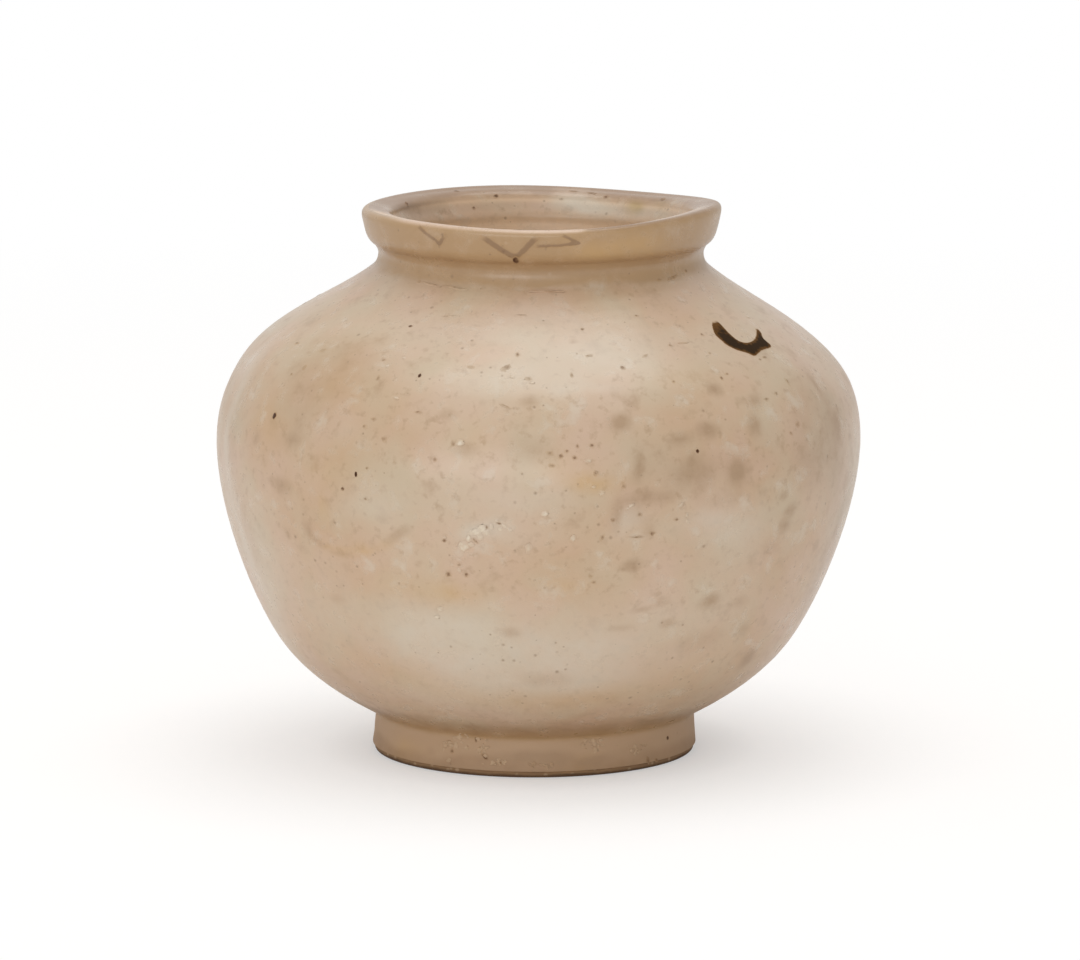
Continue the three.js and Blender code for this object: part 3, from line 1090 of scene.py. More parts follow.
@dataclass
class Surface:
    """A coat of glaze on which marks, paint and grit are placed, in millimetres."""

    tree: BVHTree
    camera: PhotoCamera
    corners: list[tuple[int, ...]]
    places: list[Vector]
    mesh: bpy.types.Mesh | None = None
    outside: float = 200.0

    @classmethod
    def of(cls, bm: bmesh.types.BMesh, camera: PhotoCamera) -> "Surface":
        """Makes the surface of a shape.

        Args:
            bm: The shape in millimetres.
            camera: The photograph's camera.

        Returns:
            The surface.
        """
        bm.verts.index_update()
        corners = [tuple(vert.index for vert in face.verts) for face in bm.faces]
        return cls(BVHTree.FromBMesh(bm), camera, corners, [vert.co.copy() for vert in bm.verts])

    def seen_at(self, x: float, y: float) -> tuple[Vector, Vector]:
        """Finds the place that the photograph shows at a pixel.

        Args:
            x: The pixel's column.
            y: The pixel's row.

        Returns:
            The point in millimetres and the surface's outward direction there.
        """
        point, normal, _, _ = self.tree.ray_cast(self.camera.location, self.camera.ray(x, y))
        return point, normal

    def towards(self, azimuth: float, height: float) -> tuple[Vector, Vector]:
        """Finds a place on the jar's outside.

        Args:
            azimuth: The direction in which it lies, in degrees.
            height: Its height in millimetres.

        Returns:
            The point in millimetres and the surface's outward direction there.
        """
        angle = math.radians(azimuth)
        outward = Vector((math.cos(angle), math.sin(angle), 0))
        point, normal, _, _ = self.tree.ray_cast(self.outside * outward + height * UP, -outward)
        return point, normal

    def lay(self, point: Vector, lift: float) -> Vector:
        """Returns the nearest point of the surface, lifted off it by a distance in millimetres."""
        nearest, normal, _, _ = self.tree.find_nearest(point)
        return nearest + lift * normal

    def spread_mark(self, point: Vector, normal: Vector, mark: Mark) -> PlacedMark:
        """Lays a mark on the surface.

        Args:
            point: Where its middle goes, in millimetres.
            normal: The surface's outward direction there.
            mark: The mark, of which the pixel isn't used.

        Returns:
            The placed mark.
        """
        right = UP.cross(normal).normalized()
        across = Matrix.Rotation(math.radians(mark.turn), 3, normal) @ right
        return PlacedMark(
            middle=point,
            across=across * mark.width / 2,
            upward=normal.cross(across) * mark.height / 2,
            outward=normal * max(mark.width, mark.height) / 2,
            strength=mark.strength,
        )

    def place(self, marks: tuple[Mark, ...]) -> list[PlacedMark]:
        """Places marks where the photograph shows them."""
        return [self.spread_mark(*self.seen_at(mark.x, mark.y), mark) for mark in marks]

    def match_tones(self, mesh: bpy.types.Mesh) -> None:
        """Gives a small piece on the surface the same tones as the glaze under it.

        Args:
            mesh: The piece's mesh.
        """
        under = []
        for place in vertex_places(mesh):
            nearest, _, face, _ = self.tree.find_nearest(Vector(place))
            corners = self.corners[face]
            under.append((corners, poly_3d_calc([self.places[k] for k in corners], nearest)))
        for tone in Tone:
            if tone.value in self.mesh.attributes:
                data = self.mesh.attributes[tone.value].data
                values = [sum(w * data[k].value for k, w in zip(*corner)) for corner in under]
                write_tone(mesh, tone, np.array(values))


def drifted(points: np.ndarray, reach: float, size: float) -> np.ndarray:
    """Moves points by a slow noise, so that marks read at them get uneven outlines.

    Args:
        points: The points in millimetres, one to a row.
        reach: How far the points move at most.
        size: The size of the noise.

    Returns:
        The moved points.
    """
    return points + reach * np.array([noise.noise_vector(Vector(point) / size) for point in points])


# How fast a soft mark fades: at its edge e to the power of minus this much of it is left
SOFTNESS = 1.5


def blotted(points: np.ndarray, marks: list[PlacedMark]) -> np.ndarray:
    """Adds up soft marks.

    Args:
        points: The points in millimetres, one to a row.
        marks: The marks.

    Returns:
        The marks' summed strength at each point.
    """
    total = np.zeros(len(points))
    for mark in marks:
        total += mark.strength * np.exp(-SOFTNESS * mark.spread(points) ** 2)
    return total


@dataclass(frozen=True)
class Scatter:
    """How marks fall on the sides and the back, which the photograph doesn't show.

    Each field holds the least and the greatest value: the direction and the turn in degrees, the height in
    millimetres, the share of the width that the mark is high, and the strength.
    """

    azimuth: tuple[float, float]
    height: tuple[float, float]
    flatness: tuple[float, float]
    strength: tuple[float, float]
    turn: tuple[float, float]

    def marks(self, surface: Surface, chance: random.Random, count: int, smallest: float,
              largest: float) -> list[PlacedMark]:
        """Scatters marks.

        Args:
            surface: The surface that they fall on.
            chance: The source of the seeded draws.
            count: How many there are.
            smallest: The least width in millimetres.
            largest: The greatest width in millimetres.

        Returns:
            The placed marks.
        """
        placed = []
        for _ in range(count):
            point, normal = surface.towards(chance.uniform(*self.azimuth), chance.uniform(*self.height))
            width = chance.uniform(smallest, largest)
            mark = Mark(0, 0, width, width * chance.uniform(*self.flatness), chance.uniform(*self.strength),
                        chance.uniform(*self.turn))
            placed.append(surface.spread_mark(point, normal, mark))
        return placed


# Cloudy, milky places of the outside, many of them also painted light: those high on the shoulder paint
# its highlight, those along the left edge its pale reflection, and the wide ones under the neck, low on the
# body and over the foot paint light into shade there
MILK_AND_LIGHT_MARKS = marks_at(
    (445, 642, 27, 17, 0.95), (375, 505, 18, 11, 0.55), (520, 498, 24, 8, 0.45), (738, 532, 20, 14, 0.6),
    (575, 650, 24, 14, 0.45), (520, 378, 30, 9, 0.5), (590, 350, 30, 14, 0.5), (500, 338, 20, 8, 0.3),
    (495, 536, 12, 5, 0.6), (632, 523, 7, 6, 0.5), (265, 560, 14, 26, 0.4), (345, 430, 12, 8, 0.3),
    (540, 655, 90, 25, 0.62), (575, 690, 60, 9, 0.38), (330, 620, 34, 22, 0.25), (575, 390, 22, 3, 0.4),
    (478, 534, 9, 3.5, 0.7, 25), (503, 527, 5, 2.5, 0.5, -20), (226, 440, 6, 34, 0.8),
    (245, 545, 7, 26, 0.7), (270, 598, 9, 14, 0.5), (250, 364, 9, 12, 0.5), (633, 526, 6, 5, 0.5),
    (643, 541, 3.4, 1.6, 0.6), (700, 520, 12, 5, 0.3), (545, 318, 60, 11, 0.4), (450, 696, 50, 10, 0.45),
    (710, 530, 26, 10, 0.25),
)

# Places where the ash has turned the glaze yellow or orange
OCHRE_MARKS = marks_at(
    (268, 425, 14, 18, 0.4), (330, 385, 16, 13, 0.35), (335, 352, 36, 18, 0.25), (592, 484, 11, 3.4, 0.8),
    (565, 470, 16, 8, 0.35), (326, 544, 5, 2.0, 0.7, -25), (343, 548, 7, 2.0, 0.7, -6),
    (364, 549, 5, 2.4, 0.7), (384, 544, 6, 2.4, 0.4, 20), (325, 510, 3.0, 6.0, 0.5, 15),
    (420, 590, 26, 7, 0.3), (455, 592, 9, 4, 0.5), (565, 590, 6, 4, 0.4), (470, 440, 12, 9, 0.25),
    (680, 375, 16, 9, 0.2), (330, 470, 18, 12, 0.25), (584.5, 479, 3.0, 2.4, 0.6), (604, 247, 16, 5, 0.8),
    (646, 243, 13, 5, 0.6), (581, 761, 6.0, 3.0, 0.6), (405, 747, 10, 5.0, 0.5), (540, 702, 70, 8, 0.4),
)

# Brown and grey mottles, and painted shade: the wide flat marks at y 270 to 275 darken the neck under the
# rim, the tall ones at x 836 to 842 and (812, 586) darken the right edge, and those at x 232 and 252 grey
# the painted reflection on the left edge
STAIN_AND_SHADE_MARKS = marks_at(
    (620, 421, 5.4, 4.2, 1.0), (709, 430, 5.2, 3.6, 1.0), (682, 438, 5.5, 2.8, 0.8),
    (754, 425, 4.2, 5.6, 0.9), (740, 472, 5.2, 6.0, 1.0), (684, 474, 8.0, 5.0, 0.5),
    (692, 461, 3.2, 3.0, 0.6), (662, 496, 6.5, 3.0, 0.55), (714, 389, 3.6, 4.0, 0.8),
    (755, 401, 4.4, 3.4, 0.9), (739, 401, 2.6, 1.8, 0.7), (709, 602, 5.4, 3.6, 1.0),
    (661, 602, 5.0, 3.4, 0.6), (668, 624, 4.0, 2.6, 0.8), (640, 612, 5.0, 2.0, 0.6),
    (748, 658, 5.0, 6.0, 1.0), (631, 565, 6.0, 3.0, 0.9), (791, 511, 3.6, 3.2, 0.9),
    (785, 527, 4.4, 3.4, 0.9), (785, 494, 2.6, 2.2, 1.0), (512, 634, 5.0, 3.6, 0.6),
    (811, 462, 16, 14, 0.55), (800, 400, 14, 12, 0.35), (690, 470, 26, 16, 0.22), (640, 455, 16, 14, 0.18),
    (283, 487, 6.5, 4.5, 0.7), (257, 438, 4.0, 4.0, 0.6), (294, 440, 7.0, 3.0, 0.5),
    (463, 452, 6.0, 3.6, 0.6), (530, 450, 14, 8, 0.4), (531, 402, 4.6, 3.0, 0.7),
    (574, 341, 2.6, 1.8, 0.7), (447, 415, 4.4, 3.0, 0.6), (308, 528, 2.8, 5.0, 0.7, 20),
    (319, 540, 5.0, 2.6, 0.7, -35), (341, 552, 7.0, 1.8, 0.5, -8), (398, 535, 7.5, 3.0, 0.6, 30),
    (617, 517, 2.4, 7.0, 0.6), (636, 501, 8.0, 2.2, 0.35), (650, 533, 2.4, 4.0, 0.6),
    (338, 600, 6.0, 3.0, 0.4), (545, 680, 14, 6, 0.4), (700, 640, 16, 8, 0.35), (815, 384, 2.0, 6.0, 0.6),
    (740, 600, 6.0, 4.0, 0.5), (540, 759, 20, 3.2, 1.1), (596, 761, 9, 2.4, 0.8), (640, 752, 12, 4.0, 0.4),
    (430, 752, 4, 3, 0.4), (338, 362, 40, 22, 0.36), (300, 408, 24, 20, 0.3), (838, 426, 4.0, 5.0, 0.5),
    (635, 402, 2.2, 4.5, 0.6), (637.5, 470, 2.4, 6.0, 0.6), (632, 512, 9.0, 9.0, 0.3),
    (706, 474, 6.0, 6.0, 0.45), (728, 499, 14, 4.0, 0.3), (770, 548, 7.0, 5.0, 0.45),
    (620, 628, 8.0, 2.4, 0.45), (744, 628, 6.0, 5.0, 0.5), (468, 271, 24, 4.0, 0.42),
    (540, 275, 24, 4.0, 0.36), (612, 270, 26, 4.0, 0.45), (836, 440, 14, 40, 0.58),
    (842, 516, 10, 36, 0.55), (812, 586, 12, 26, 0.42), (652, 759, 5, 2.6, 0.9), (232, 440, 8, 40, 0.3),
    (252, 540, 8, 26, 0.3),
)

# Iron spots
IRON_MARKS = marks_at(
    (274.5, 415.8, 1.3, 1.4, 0.95), (355.9, 474.3, 0.7, 1.2, 1.0), (342.6, 489, 1.0, 0.9, 0.5),
    (419.8, 375.6, 0.8, 1.1, 0.8), (410.6, 326.3, 1.1, 0.8, 0.55), (697.5, 451.2, 0.8, 0.95, 0.8),
    (667.6, 738.0, 0.9, 0.9, 0.75), (515.8, 260.0, 1.4, 2.0, 0.7),
)

# Burst bubbles and other small dark marks
PIT_MARKS = marks_at(
    (582.2, 329.4, 1.0, 0.8, 0.45), (636.3, 315.8, 0.9, 0.8, 0.4), (521.2, 315.3, 2.6, 0.5, 0.35),
    (517.7, 354.4, 0.9, 1.4, 0.45), (589.3, 355.8, 1.6, 0.8, 0.45), (470.7, 367.0, 1.5, 1.0, 0.35),
    (506.5, 367.7, 2.2, 1.3, 0.45, 35), (528.2, 378.6, 1.5, 0.9, 0.4, -25), (571.7, 375.4, 0.8, 1.4, 0.5),
    (622.2, 367.7, 1.2, 1.2, 0.55), (644.7, 355.8, 1.6, 0.6, 0.35, 25), (453.2, 443.5, 1.3, 1.4, 0.5),
    (561.2, 456.1, 1.1, 1.1, 0.65), (566.8, 451.2, 1.0, 0.8, 0.45), (577.3, 446.3, 0.8, 1.0, 0.45),
    (592.0, 445.6, 1.3, 1.0, 0.45), (574.5, 457.5, 1.0, 0.9, 0.6), (552.0, 465.5, 1.6, 0.8, 0.55),
    (596.3, 472.9, 1.2, 1.1, 0.5), (549.3, 453.3, 1.3, 1.0, 0.35), (721.4, 378.2, 0.9, 1.3, 0.5),
    (727.0, 374.0, 1.0, 0.7, 0.4), (673.7, 381.7, 0.9, 0.8, 0.35), (766.3, 399.3, 1.5, 1.0, 0.45),
    (776.1, 393.7, 1.1, 1.4, 0.4, -30), (797.8, 424.5, 1.6, 1.4, 0.35), (790.8, 433.0, 1.5, 0.8, 0.4, -30),
    (595.6, 474.0, 0.9, 1.2, 0.45), (623.8, 486.1, 1.2, 1.3, 0.45), (613.0, 520.0, 1.2, 1.1, 0.45),
    (639.8, 514.6, 1.2, 1.1, 0.4), (676.4, 519.6, 1.3, 0.8, 0.45), (652.3, 533.4, 1.4, 1.0, 0.5),
    (637.1, 537.0, 3.4, 0.5, 0.45), (602.3, 537.4, 0.9, 1.5, 0.4, -20), (590.7, 576.3, 1.1, 1.0, 0.4),
    (593.4, 582.1, 1.1, 0.9, 0.35), (444.1, 540.6, 1.0, 1.1, 0.5), (475.4, 540.6, 1.8, 0.8, 0.5, -40),
    (486.5, 527.2, 0.9, 1.1, 0.45), (498.6, 523.2, 1.6, 0.7, 0.5, -15), (448.6, 574.1, 1.4, 1.4, 0.45),
    (466.4, 574.6, 1.1, 1.4, 0.5), (459.3, 564.7, 1.2, 1.0, 0.35), (529.4, 545.5, 0.8, 1.2, 0.35),
    (384.0, 439.3, 1.4, 1.1, 0.45, -30), (365.0, 426.6, 1.3, 1.0, 0.4), (373.5, 418.9, 1.6, 0.8, 0.35),
    (384.0, 360.0, 1.1, 1.0, 0.45), (378.4, 377.5, 0.9, 1.5, 0.3), (417.7, 411.9, 1.5, 0.6, 0.35),
    (367.1, 468.0, 0.9, 0.8, 0.4), (297.0, 343.1, 1.4, 0.9, 0.45), (322.2, 350.2, 1.5, 1.0, 0.35, 30),
    (304.0, 367.7, 1.2, 1.4, 0.35), (291.4, 374.0, 0.8, 0.7, 0.5), (365.7, 498.8, 1.1, 0.8, 0.4),
    (434.9, 459.6, 0.9, 0.9, 0.4), (686.0, 271.0, 1.0, 0.7, 0.5), (659.0, 280.0, 1.4, 0.7, 0.4),
    (419.0, 282.0, 1.4, 0.8, 0.3), (484.8, 757.0, 2.0, 0.7, 0.9, -40), (480.6, 748.6, 1.4, 0.6, 0.8, -60),
    (452.0, 751.0, 1.2, 1.0, 0.5), (449.4, 741.0, 1.6, 0.5, 0.4), (476.0, 739.0, 0.6, 2.2, 0.7),
    (648.0, 760.0, 1.2, 1.6, 0.5), (656.5, 760.0, 1.0, 0.8, 0.5), (500.4, 763.0, 0.8, 0.7, 0.5),
    (764.5, 357.5, 1.6, 0.8, 0.5), (760.0, 359.5, 1.0, 0.8, 0.4), (702.0, 334.5, 1.0, 1.0, 0.5),
    (669.8, 345.3, 1.0, 0.8, 0.4), (683.0, 343.0, 3.0, 0.5, 0.25), (709.7, 353.2, 1.0, 0.8, 0.35),
    (787.4, 381.5, 0.7, 2.2, 0.35), (430.0, 284.0, 4.0, 0.6, 0.3, -8), (457.0, 288.0, 5.0, 0.6, 0.35, -5),
    (545.0, 291.5, 7.0, 0.5, 0.3), (672.0, 278.5, 4.0, 0.7, 0.4, 12), (452.0, 316.0, 3.4, 0.5, 0.3, 6),
    (505.0, 406.0, 3.0, 0.6, 0.3, -20),
)

# Pale blisters
BLISTER_MARKS = marks_at(
    (463.4, 546.4, 2.7, 1.9, 0.8, -10), (468.1, 538.4, 1.0, 1.5, 1.0, -20), (470.8, 544.8, 1.6, 1.3, 0.5),
    (471.2, 532.4, 1.6, 1.2, 0.7, 30), (476.2, 532.0, 2.2, 1.6, 0.8), (479.8, 537.2, 1.6, 1.4, 0.6, -50),
    (482.2, 528.2, 1.7, 1.5, 0.9, 40), (485.8, 532.6, 1.6, 1.2, 0.7, -30), (491.4, 527.0, 1.0, 1.4, 0.5),
    (499.7, 529.1, 0.9, 0.9, 1.0), (505.0, 526.6, 1.5, 0.7, 0.6, -40), (509.6, 530.2, 1.2, 0.7, 0.5, -30),
    (496.5, 520.8, 0.8, 0.6, 0.5), (462.8, 527.4, 0.6, 0.9, 0.4), (444.2, 537.4, 0.9, 0.5, 0.4),
    (459.0, 560.0, 1.4, 0.7, 0.4, -20), (452.0, 565.0, 0.8, 0.7, 0.4), (459.4, 570.6, 1.4, 0.9, 0.6, -30),
    (686.6, 515.0, 0.6, 1.0, 0.6), (687.4, 521.6, 0.8, 1.2, 0.5, 20), (681.0, 505.0, 1.4, 0.8, 0.4, 40),
    (460, 443, 1.8, 1.4, 0.8), (545, 514, 1.6, 1.2, 0.7), (528, 548, 1.4, 2.2, 0.5),
    (573, 538, 1.2, 1.6, 0.6), (440, 609, 1.2, 1.1, 0.8), (437, 617, 1.4, 1.0, 0.8),
    (588, 461, 1.6, 0.9, 0.6), (602, 494, 1.6, 0.7, 0.6, 35), (594, 487, 1.0, 0.8, 0.5, 20),
    (631.6, 505.2, 1.4, 0.7, 0.7, 35), (627.2, 508.6, 0.9, 0.6, 0.6, 30), (602.4, 491.8, 1.0, 0.7, 0.4),
    (404, 358, 0.8, 0.7, 0.5), (396, 398, 1.4, 0.6, 0.5, -20), (387, 366, 0.7, 0.8, 0.5),
    (512, 377, 1.0, 0.7, 0.4), (532, 383, 1.0, 0.7, 0.4), (772, 352, 0.9, 0.8, 0.6),
    (774, 346, 0.8, 0.6, 0.6), (748, 317, 1.2, 0.8, 0.4),
)

# Crusts of sand from the kiln's floor on the foot
GRIT_MARKS = marks_at(
    (452, 744, 4.0, 3.6), (458, 736, 3.0, 1.6), (484, 752, 2.2, 4.0), (500, 763, 3.0, 1.6),
    (592, 744, 5.0, 2.4), (637, 751, 4.0, 2.0), (545, 765, 10.0, 0.8),
)

# Spots on the far wall inside the mouth, and a pale pool of glaze that is also a painted highlight
MOUTH_SPECKS = marks_at(
    (407, 204, 1.1, 1.0, 0.7), (456, 191, 1.2, 1.0, 0.75), (496, 196, 1.2, 1.0, 0.65),
    (474, 208, 1.0, 0.9, 0.6), (561, 199, 1.1, 0.8, 0.35), (572, 191, 2.0, 0.7, 0.4),
    (592, 193, 2.2, 0.7, 0.4, -10), (606, 197, 1.3, 0.8, 0.5), (663, 199, 1.6, 1.0, 0.5),
)
MOUTH_POOL_AND_HIGHLIGHT = marks_at(
    (587, 204, 7.0, 4.6, 1.4), (565, 201, 8.0, 4.0, 0.8), (607, 211, 10.0, 4.0, 0.7),
    (642, 213, 14.0, 4.0, 0.4),
)
# Places where the inside of the mouth is darker, most on the left of the far wall
MOUTH_DARKER_PLACES = marks_at(
    (402, 204, 12, 8, 0.85), (428, 205, 16, 7, 0.5), (640, 196, 12, 3, 0.35),
)
MOUTH_OCHRE = marks_at(
    (636, 205, 5.0, 4.0, 1.0), (663, 200, 4.0, 3.0, 0.8),
)


@dataclass
class GlazeFace:
    """The outer glaze's face as an outline, on which places are found by their distance along it."""

    path: list[Vector]
    throwing: Throwing

    def __post_init__(self) -> None:
        """Measures the outline."""
        self.lengths = lengths_along(self.path)

    def reach(self, height: float) -> float:
        """Finds how far along the outline it first gets to a height.

        Args:
            height: The height in millimetres.

        Returns:
            The distance in millimetres.
        """
        for k, (low, high) in enumerate(zip(self.path, self.path[1:])):
            if low.y <= height < high.y:
                share = (height - low.y) / (high.y - low.y)
                return self.lengths[k] + share * (self.lengths[k + 1] - self.lengths[k])
        return self.lengths[-1]

    def place(self, reach: float, azimuth: float, right: float) -> Vector:
        """Finds a place on the jar's outside.

        Args:
            reach: The place's distance along the outline, in millimetres.
            azimuth: The direction in which it lies, in degrees.
            right: How far to its right it is, round the jar in millimetres.

        Returns:
            The place on the jar as it was thrown.
        """
        k = min(max(bisect.bisect(self.lengths, reach) - 1, 0), len(self.path) - 2)
        share = (reach - self.lengths[k]) / (self.lengths[k + 1] - self.lengths[k])
        spot = self.path[k].lerp(self.path[k + 1], share)
        around = math.radians(azimuth) + right / spot.x
        return self.throwing.place(Vector((spot.x * math.cos(around), spot.x * math.sin(around), spot.y)))


@dataclass
class GlazeCoat:
    """The glaze outside and inside, as closed skins that meet on the crest of the lip.

    Lengths are in millimetres. Those of the lip and the rim are measured along the glaze from the crest,
    those of the foot from its wiped edge, and those of the sides to the right (X) or to the back (Y).
    """

    shape: JarShape
    throwing: Throwing
    camera: PhotoCamera
    outer_steps: int = 288
    inner_steps: int = 192
    melt_passes: int = 8
    clay_side_points: int = 60
    dent_size: float = 21.0
    dent_depth: float = 0.16
    ring_pitch: float = 3.1
    outer_ring_depth: float = 0.015
    inner_ring_depth: float = 0.1
    ring_drift: float = 0.8
    level_ends: float = 2.0
    lip_line: float = 1.8
    lip_line_starts: float = 0.5
    # The pale line on the front of the lip, between these spans, is a painted highlight along the crest
    lip_highlight_left: tuple[float, float] = (-29.0, -23.0)
    lip_highlight_right: tuple[float, float] = (7.0, 9.0)
    brown_line_right: tuple[float, float] = (8.0, 10.0)
    # Where the painted highlight inside the front of the lip ends to the right
    front_highlight_right: tuple[float, float] = (4.0, 12.0)
    inner_line_starts: float = 0.6
    inner_line_sway: float = 0.3
    inner_line_sway_size: float = 5.0
    # Strength and fading width of the painted highlight inside the front of the lip
    front_highlight_inside: float = 0.75
    front_highlight_width: tuple[float, float] = (1.6, 3.4)
    dull_lip: float = 0.15
    worn_lip_right: float = 0.7
    worn_lip_behind: float = 0.6
    worn_lip_inside: float = 0.5
    # The far lip's top inside is painted darker, painted shade on its upward face, over this reach and less
    # in this band to the right
    lip_corner: Band = Band(0.0, 6.0, 14.0, 0.5)
    lip_shade_reach: float = 6.0
    thin_below_lip: float = 11.7
    thin_drop: float = 2.0
    thin_left: float = 0.15
    thin_fades_by: float = 16.0
    matt_foot_height: float = 6.3
    matt_edge: float = 1.2
    thin_above_foot: float = 13.0
    # Painted shade: a darker band under the rim and one in the crease over the foot
    under_rim_shade: Band = Band(5.4, 8.0, 10.4, 0.31)
    over_foot_shade: Band = Band(6.2, 10.8, 16.5, 0.37)
    wiped_foot: float = 0.35
    wiped_height: tuple[float, float] = (0.8, 3.0)
    # Painted light: lifted colour in the shaded crease under the inner lip and in the shaded throat
    lip_crease_light: Band = Band(3.4, 5.0, 6.6, 0.5)
    throat: Band = Band(7.0, 10.3, 17.0)
    sway: float = 2.2
    sway_size: float = 9.0
    edge_sway: float = 0.4
    wiped_sway: float = 0.6
    far_side: tuple[float, float] = (0.0, 12.0)
    far_lip: tuple[float, float] = (-12.0, 0.0)
    right_lip: tuple[float, float] = (8.0, 14.0)
    drift_size: float = 9.0
    fine_drift: float = 0.4
    fine_drift_size: float = 2.6
    mouth_drift: float = 0.6
    mouth_drift_size: float = 3.0
    seed: int = 7
    unseen_marks: int = 34
    unseen: Scatter = Scatter((10, 170), (20, 86), (0.4, 1), (0.3, 0.8), (-30, 30))

    def skin(self, face: list[Vector], glazed: list[Vector], ring_depth: float,
             steps: int) -> bmesh.types.BMesh:
        """Spins one skin of glaze between the clay's face and the glaze's own.

        Args:
            face: The clay's face under the glaze.
            glazed: The glaze's face, in the same direction.
            ring_depth: How deep the throwing rings show through it, in millimetres.
            steps: How many faces go round it.

        Returns:
            The skin in millimetres, with its distance along the face kept as the attribute "along", and 1
            on the glaze's own face as "coat".
        """
        stride = max(1, len(face) // self.clay_side_points)
        back = face[::-1][::stride]
        if back[-1] != face[0]:
            back.append(face[0])
        lengths = lengths_along(glazed)
        tags = {"along": lengths + [0.0] * len(back), "coat": [1.0] * len(glazed) + [0.0] * len(back)}
        outline = glazed + back
        if glazed[-1].x == 0:
            turned = len(glazed)
            outline = outline[turned:] + outline[:turned]
            tags = {name: values[turned:] + values[:turned] for name, values in tags.items()}
        bm = spin(outline, steps, tags)
        self.dent(bm, lengths[-1], ring_depth)
        self.throwing.warp(bm)
        return bm

    def dent(self, bm: bmesh.types.BMesh, length: float, ring_depth: float) -> None:
        """Gives a skin the shallow dents and throwing rings of a hand-thrown wall, pressed into the glaze.

        Args:
            bm: The skin before it is warped.
            length: The length of its outline's glazed side, in millimetres.
            ring_depth: How deep the throwing rings are, in millimetres.
        """
        along = bm.verts.layers.float["along"]
        coat = bm.verts.layers.float["coat"]
        bm.normal_update()
        for vert in bm.verts:
            ends = smooth_step(0, self.level_ends, vert[along])
            ends *= smooth_step(0, self.level_ends, length - vert[along])
            dent = self.dent_depth * (0.5 + 0.5 * noise.noise(vert.co / self.dent_size))
            phase = vert[along] / self.ring_pitch
            phase += self.ring_drift * noise.noise(vert.co / (2 * self.dent_size))
            rings = ring_depth * (0.5 + 0.5 * math.sin(FULL_TURN * phase))
            vert.co -= vert.normal * vert[coat] * ends * (dent + rings)

    def build(self) -> tuple[Surface, Surface, GlazeFace]:
        """Makes both skins and marks them.

        Returns:
            The outer and the inner skin as surfaces, and the outer glaze's outline.
        """
        # Without a seed, Blender shifts its vector noise by the clock, and marks drift otherwise each run
        noise.seed_set(self.seed)
        shape = self.shape
        outer_face = shape.outer_face()
        inner_face = shape.inner_face()
        whole = melt(thicken(outer_face + inner_face[1:], shape.glaze_thickness), self.melt_passes)
        whole[-1] = at(0, whole[-1].y)
        crest = len(outer_face) - 1
        outer = self.skin(outer_face, whole[:crest + 1], self.outer_ring_depth, self.outer_steps)
        inner = self.skin(inner_face, whole[crest:], self.inner_ring_depth, self.inner_steps)
        outside = Surface.of(outer, self.camera)
        inside = Surface.of(inner, self.camera)
        outside.mesh = finish_piece(
            outer, "outer_coat", AshGlaze().material(), "outer_glaze", ("outer_glaze",)).data
        inside.mesh = finish_piece(
            inner, "inner_coat", INNER_ASH.material(), "inner_glaze", ("inner_glaze",)).data
        face = GlazeFace(whole[:crest + 1], self.throwing)
        self.tone_edges(outside.mesh, face.lengths[-1])
        self.tone_lip(inside.mesh)
        self.mark_outside(outside)
        points = drifted(vertex_places(inside.mesh), self.mouth_drift, self.mouth_drift_size)
        for tone, seen in (
            (Tone.OCHRE, MOUTH_OCHRE),
            (Tone.MILK_AND_LIGHT, MOUTH_POOL_AND_HIGHLIGHT),
            (Tone.STAIN_AND_SHADE, MOUTH_DARKER_PLACES),
        ):
            write_tone(inside.mesh, tone, blotted(points, inside.place(seen)))
        return outside, inside, face

    def tone_edges(self, mesh: bpy.types.Mesh, crest: float) -> None:
        """Marks where the outer glaze runs thin and brown, its worn brown edges, painted shade under the
        rim and over the foot, and its pale line on the lip, which is a painted highlight along the front of
        the crest.

        Args:
            mesh: The outer coat's mesh.
            crest: The crest's distance along the coat.
        """
        rows = []
        fallen = self.thin_below_lip + self.thin_drop
        for vert, along in zip(mesh.vertices, mesh.attributes["along"].data):
            place = vert.co / MM
            sway = self.sway * noise.noise(place / self.sway_size)
            little = self.edge_sway * sway
            above = along.value
            below = crest - above
            rim = 1 - (1 - self.thin_left) * smooth_step(self.thin_below_lip, fallen, below + little)
            rim -= self.thin_left * smooth_step(fallen, self.thin_fades_by, below + sway)
            foot = 1 - smooth_step(self.matt_foot_height, self.thin_above_foot, above + sway)
            matt = 1 - smooth_step(self.matt_foot_height - self.matt_edge, self.matt_foot_height, above)
            wiped = self.wiped_foot * (1 - smooth_step(*self.wiped_height, above + self.wiped_sway * sway))
            line = 1 - smooth_step(self.lip_line_starts, self.lip_line, below)
            far = smooth_step(*self.far_side, place.y)
            # The pale line on the front of the lip is a painted highlight along the crest
            pale = smooth_step(*self.lip_highlight_left, place.x)
            pale *= 1 - smooth_step(*self.lip_highlight_right, place.x)
            pale *= 1 - far
            right = smooth_step(*self.brown_line_right, place.x)
            worn = line * max(self.worn_lip_right * right, self.worn_lip_behind * far)
            # Painted shade under the rim and in the crease over the foot, laid with the brown edge tone
            painted_shade = max(self.under_rim_shade.share(below + little), self.over_foot_shade.share(above + little))
            edge = max(painted_shade, wiped, worn)
            lip = line * (self.dull_lip + (1 - self.dull_lip) * pale)
            rows.append((max(rim, foot), matt, edge, lip))
        for tone, values in zip((Tone.THIN, Tone.MATT, Tone.EDGE, Tone.LIP_AND_HIGHLIGHT), np.array(rows).T):
            write_tone(mesh, tone, values)

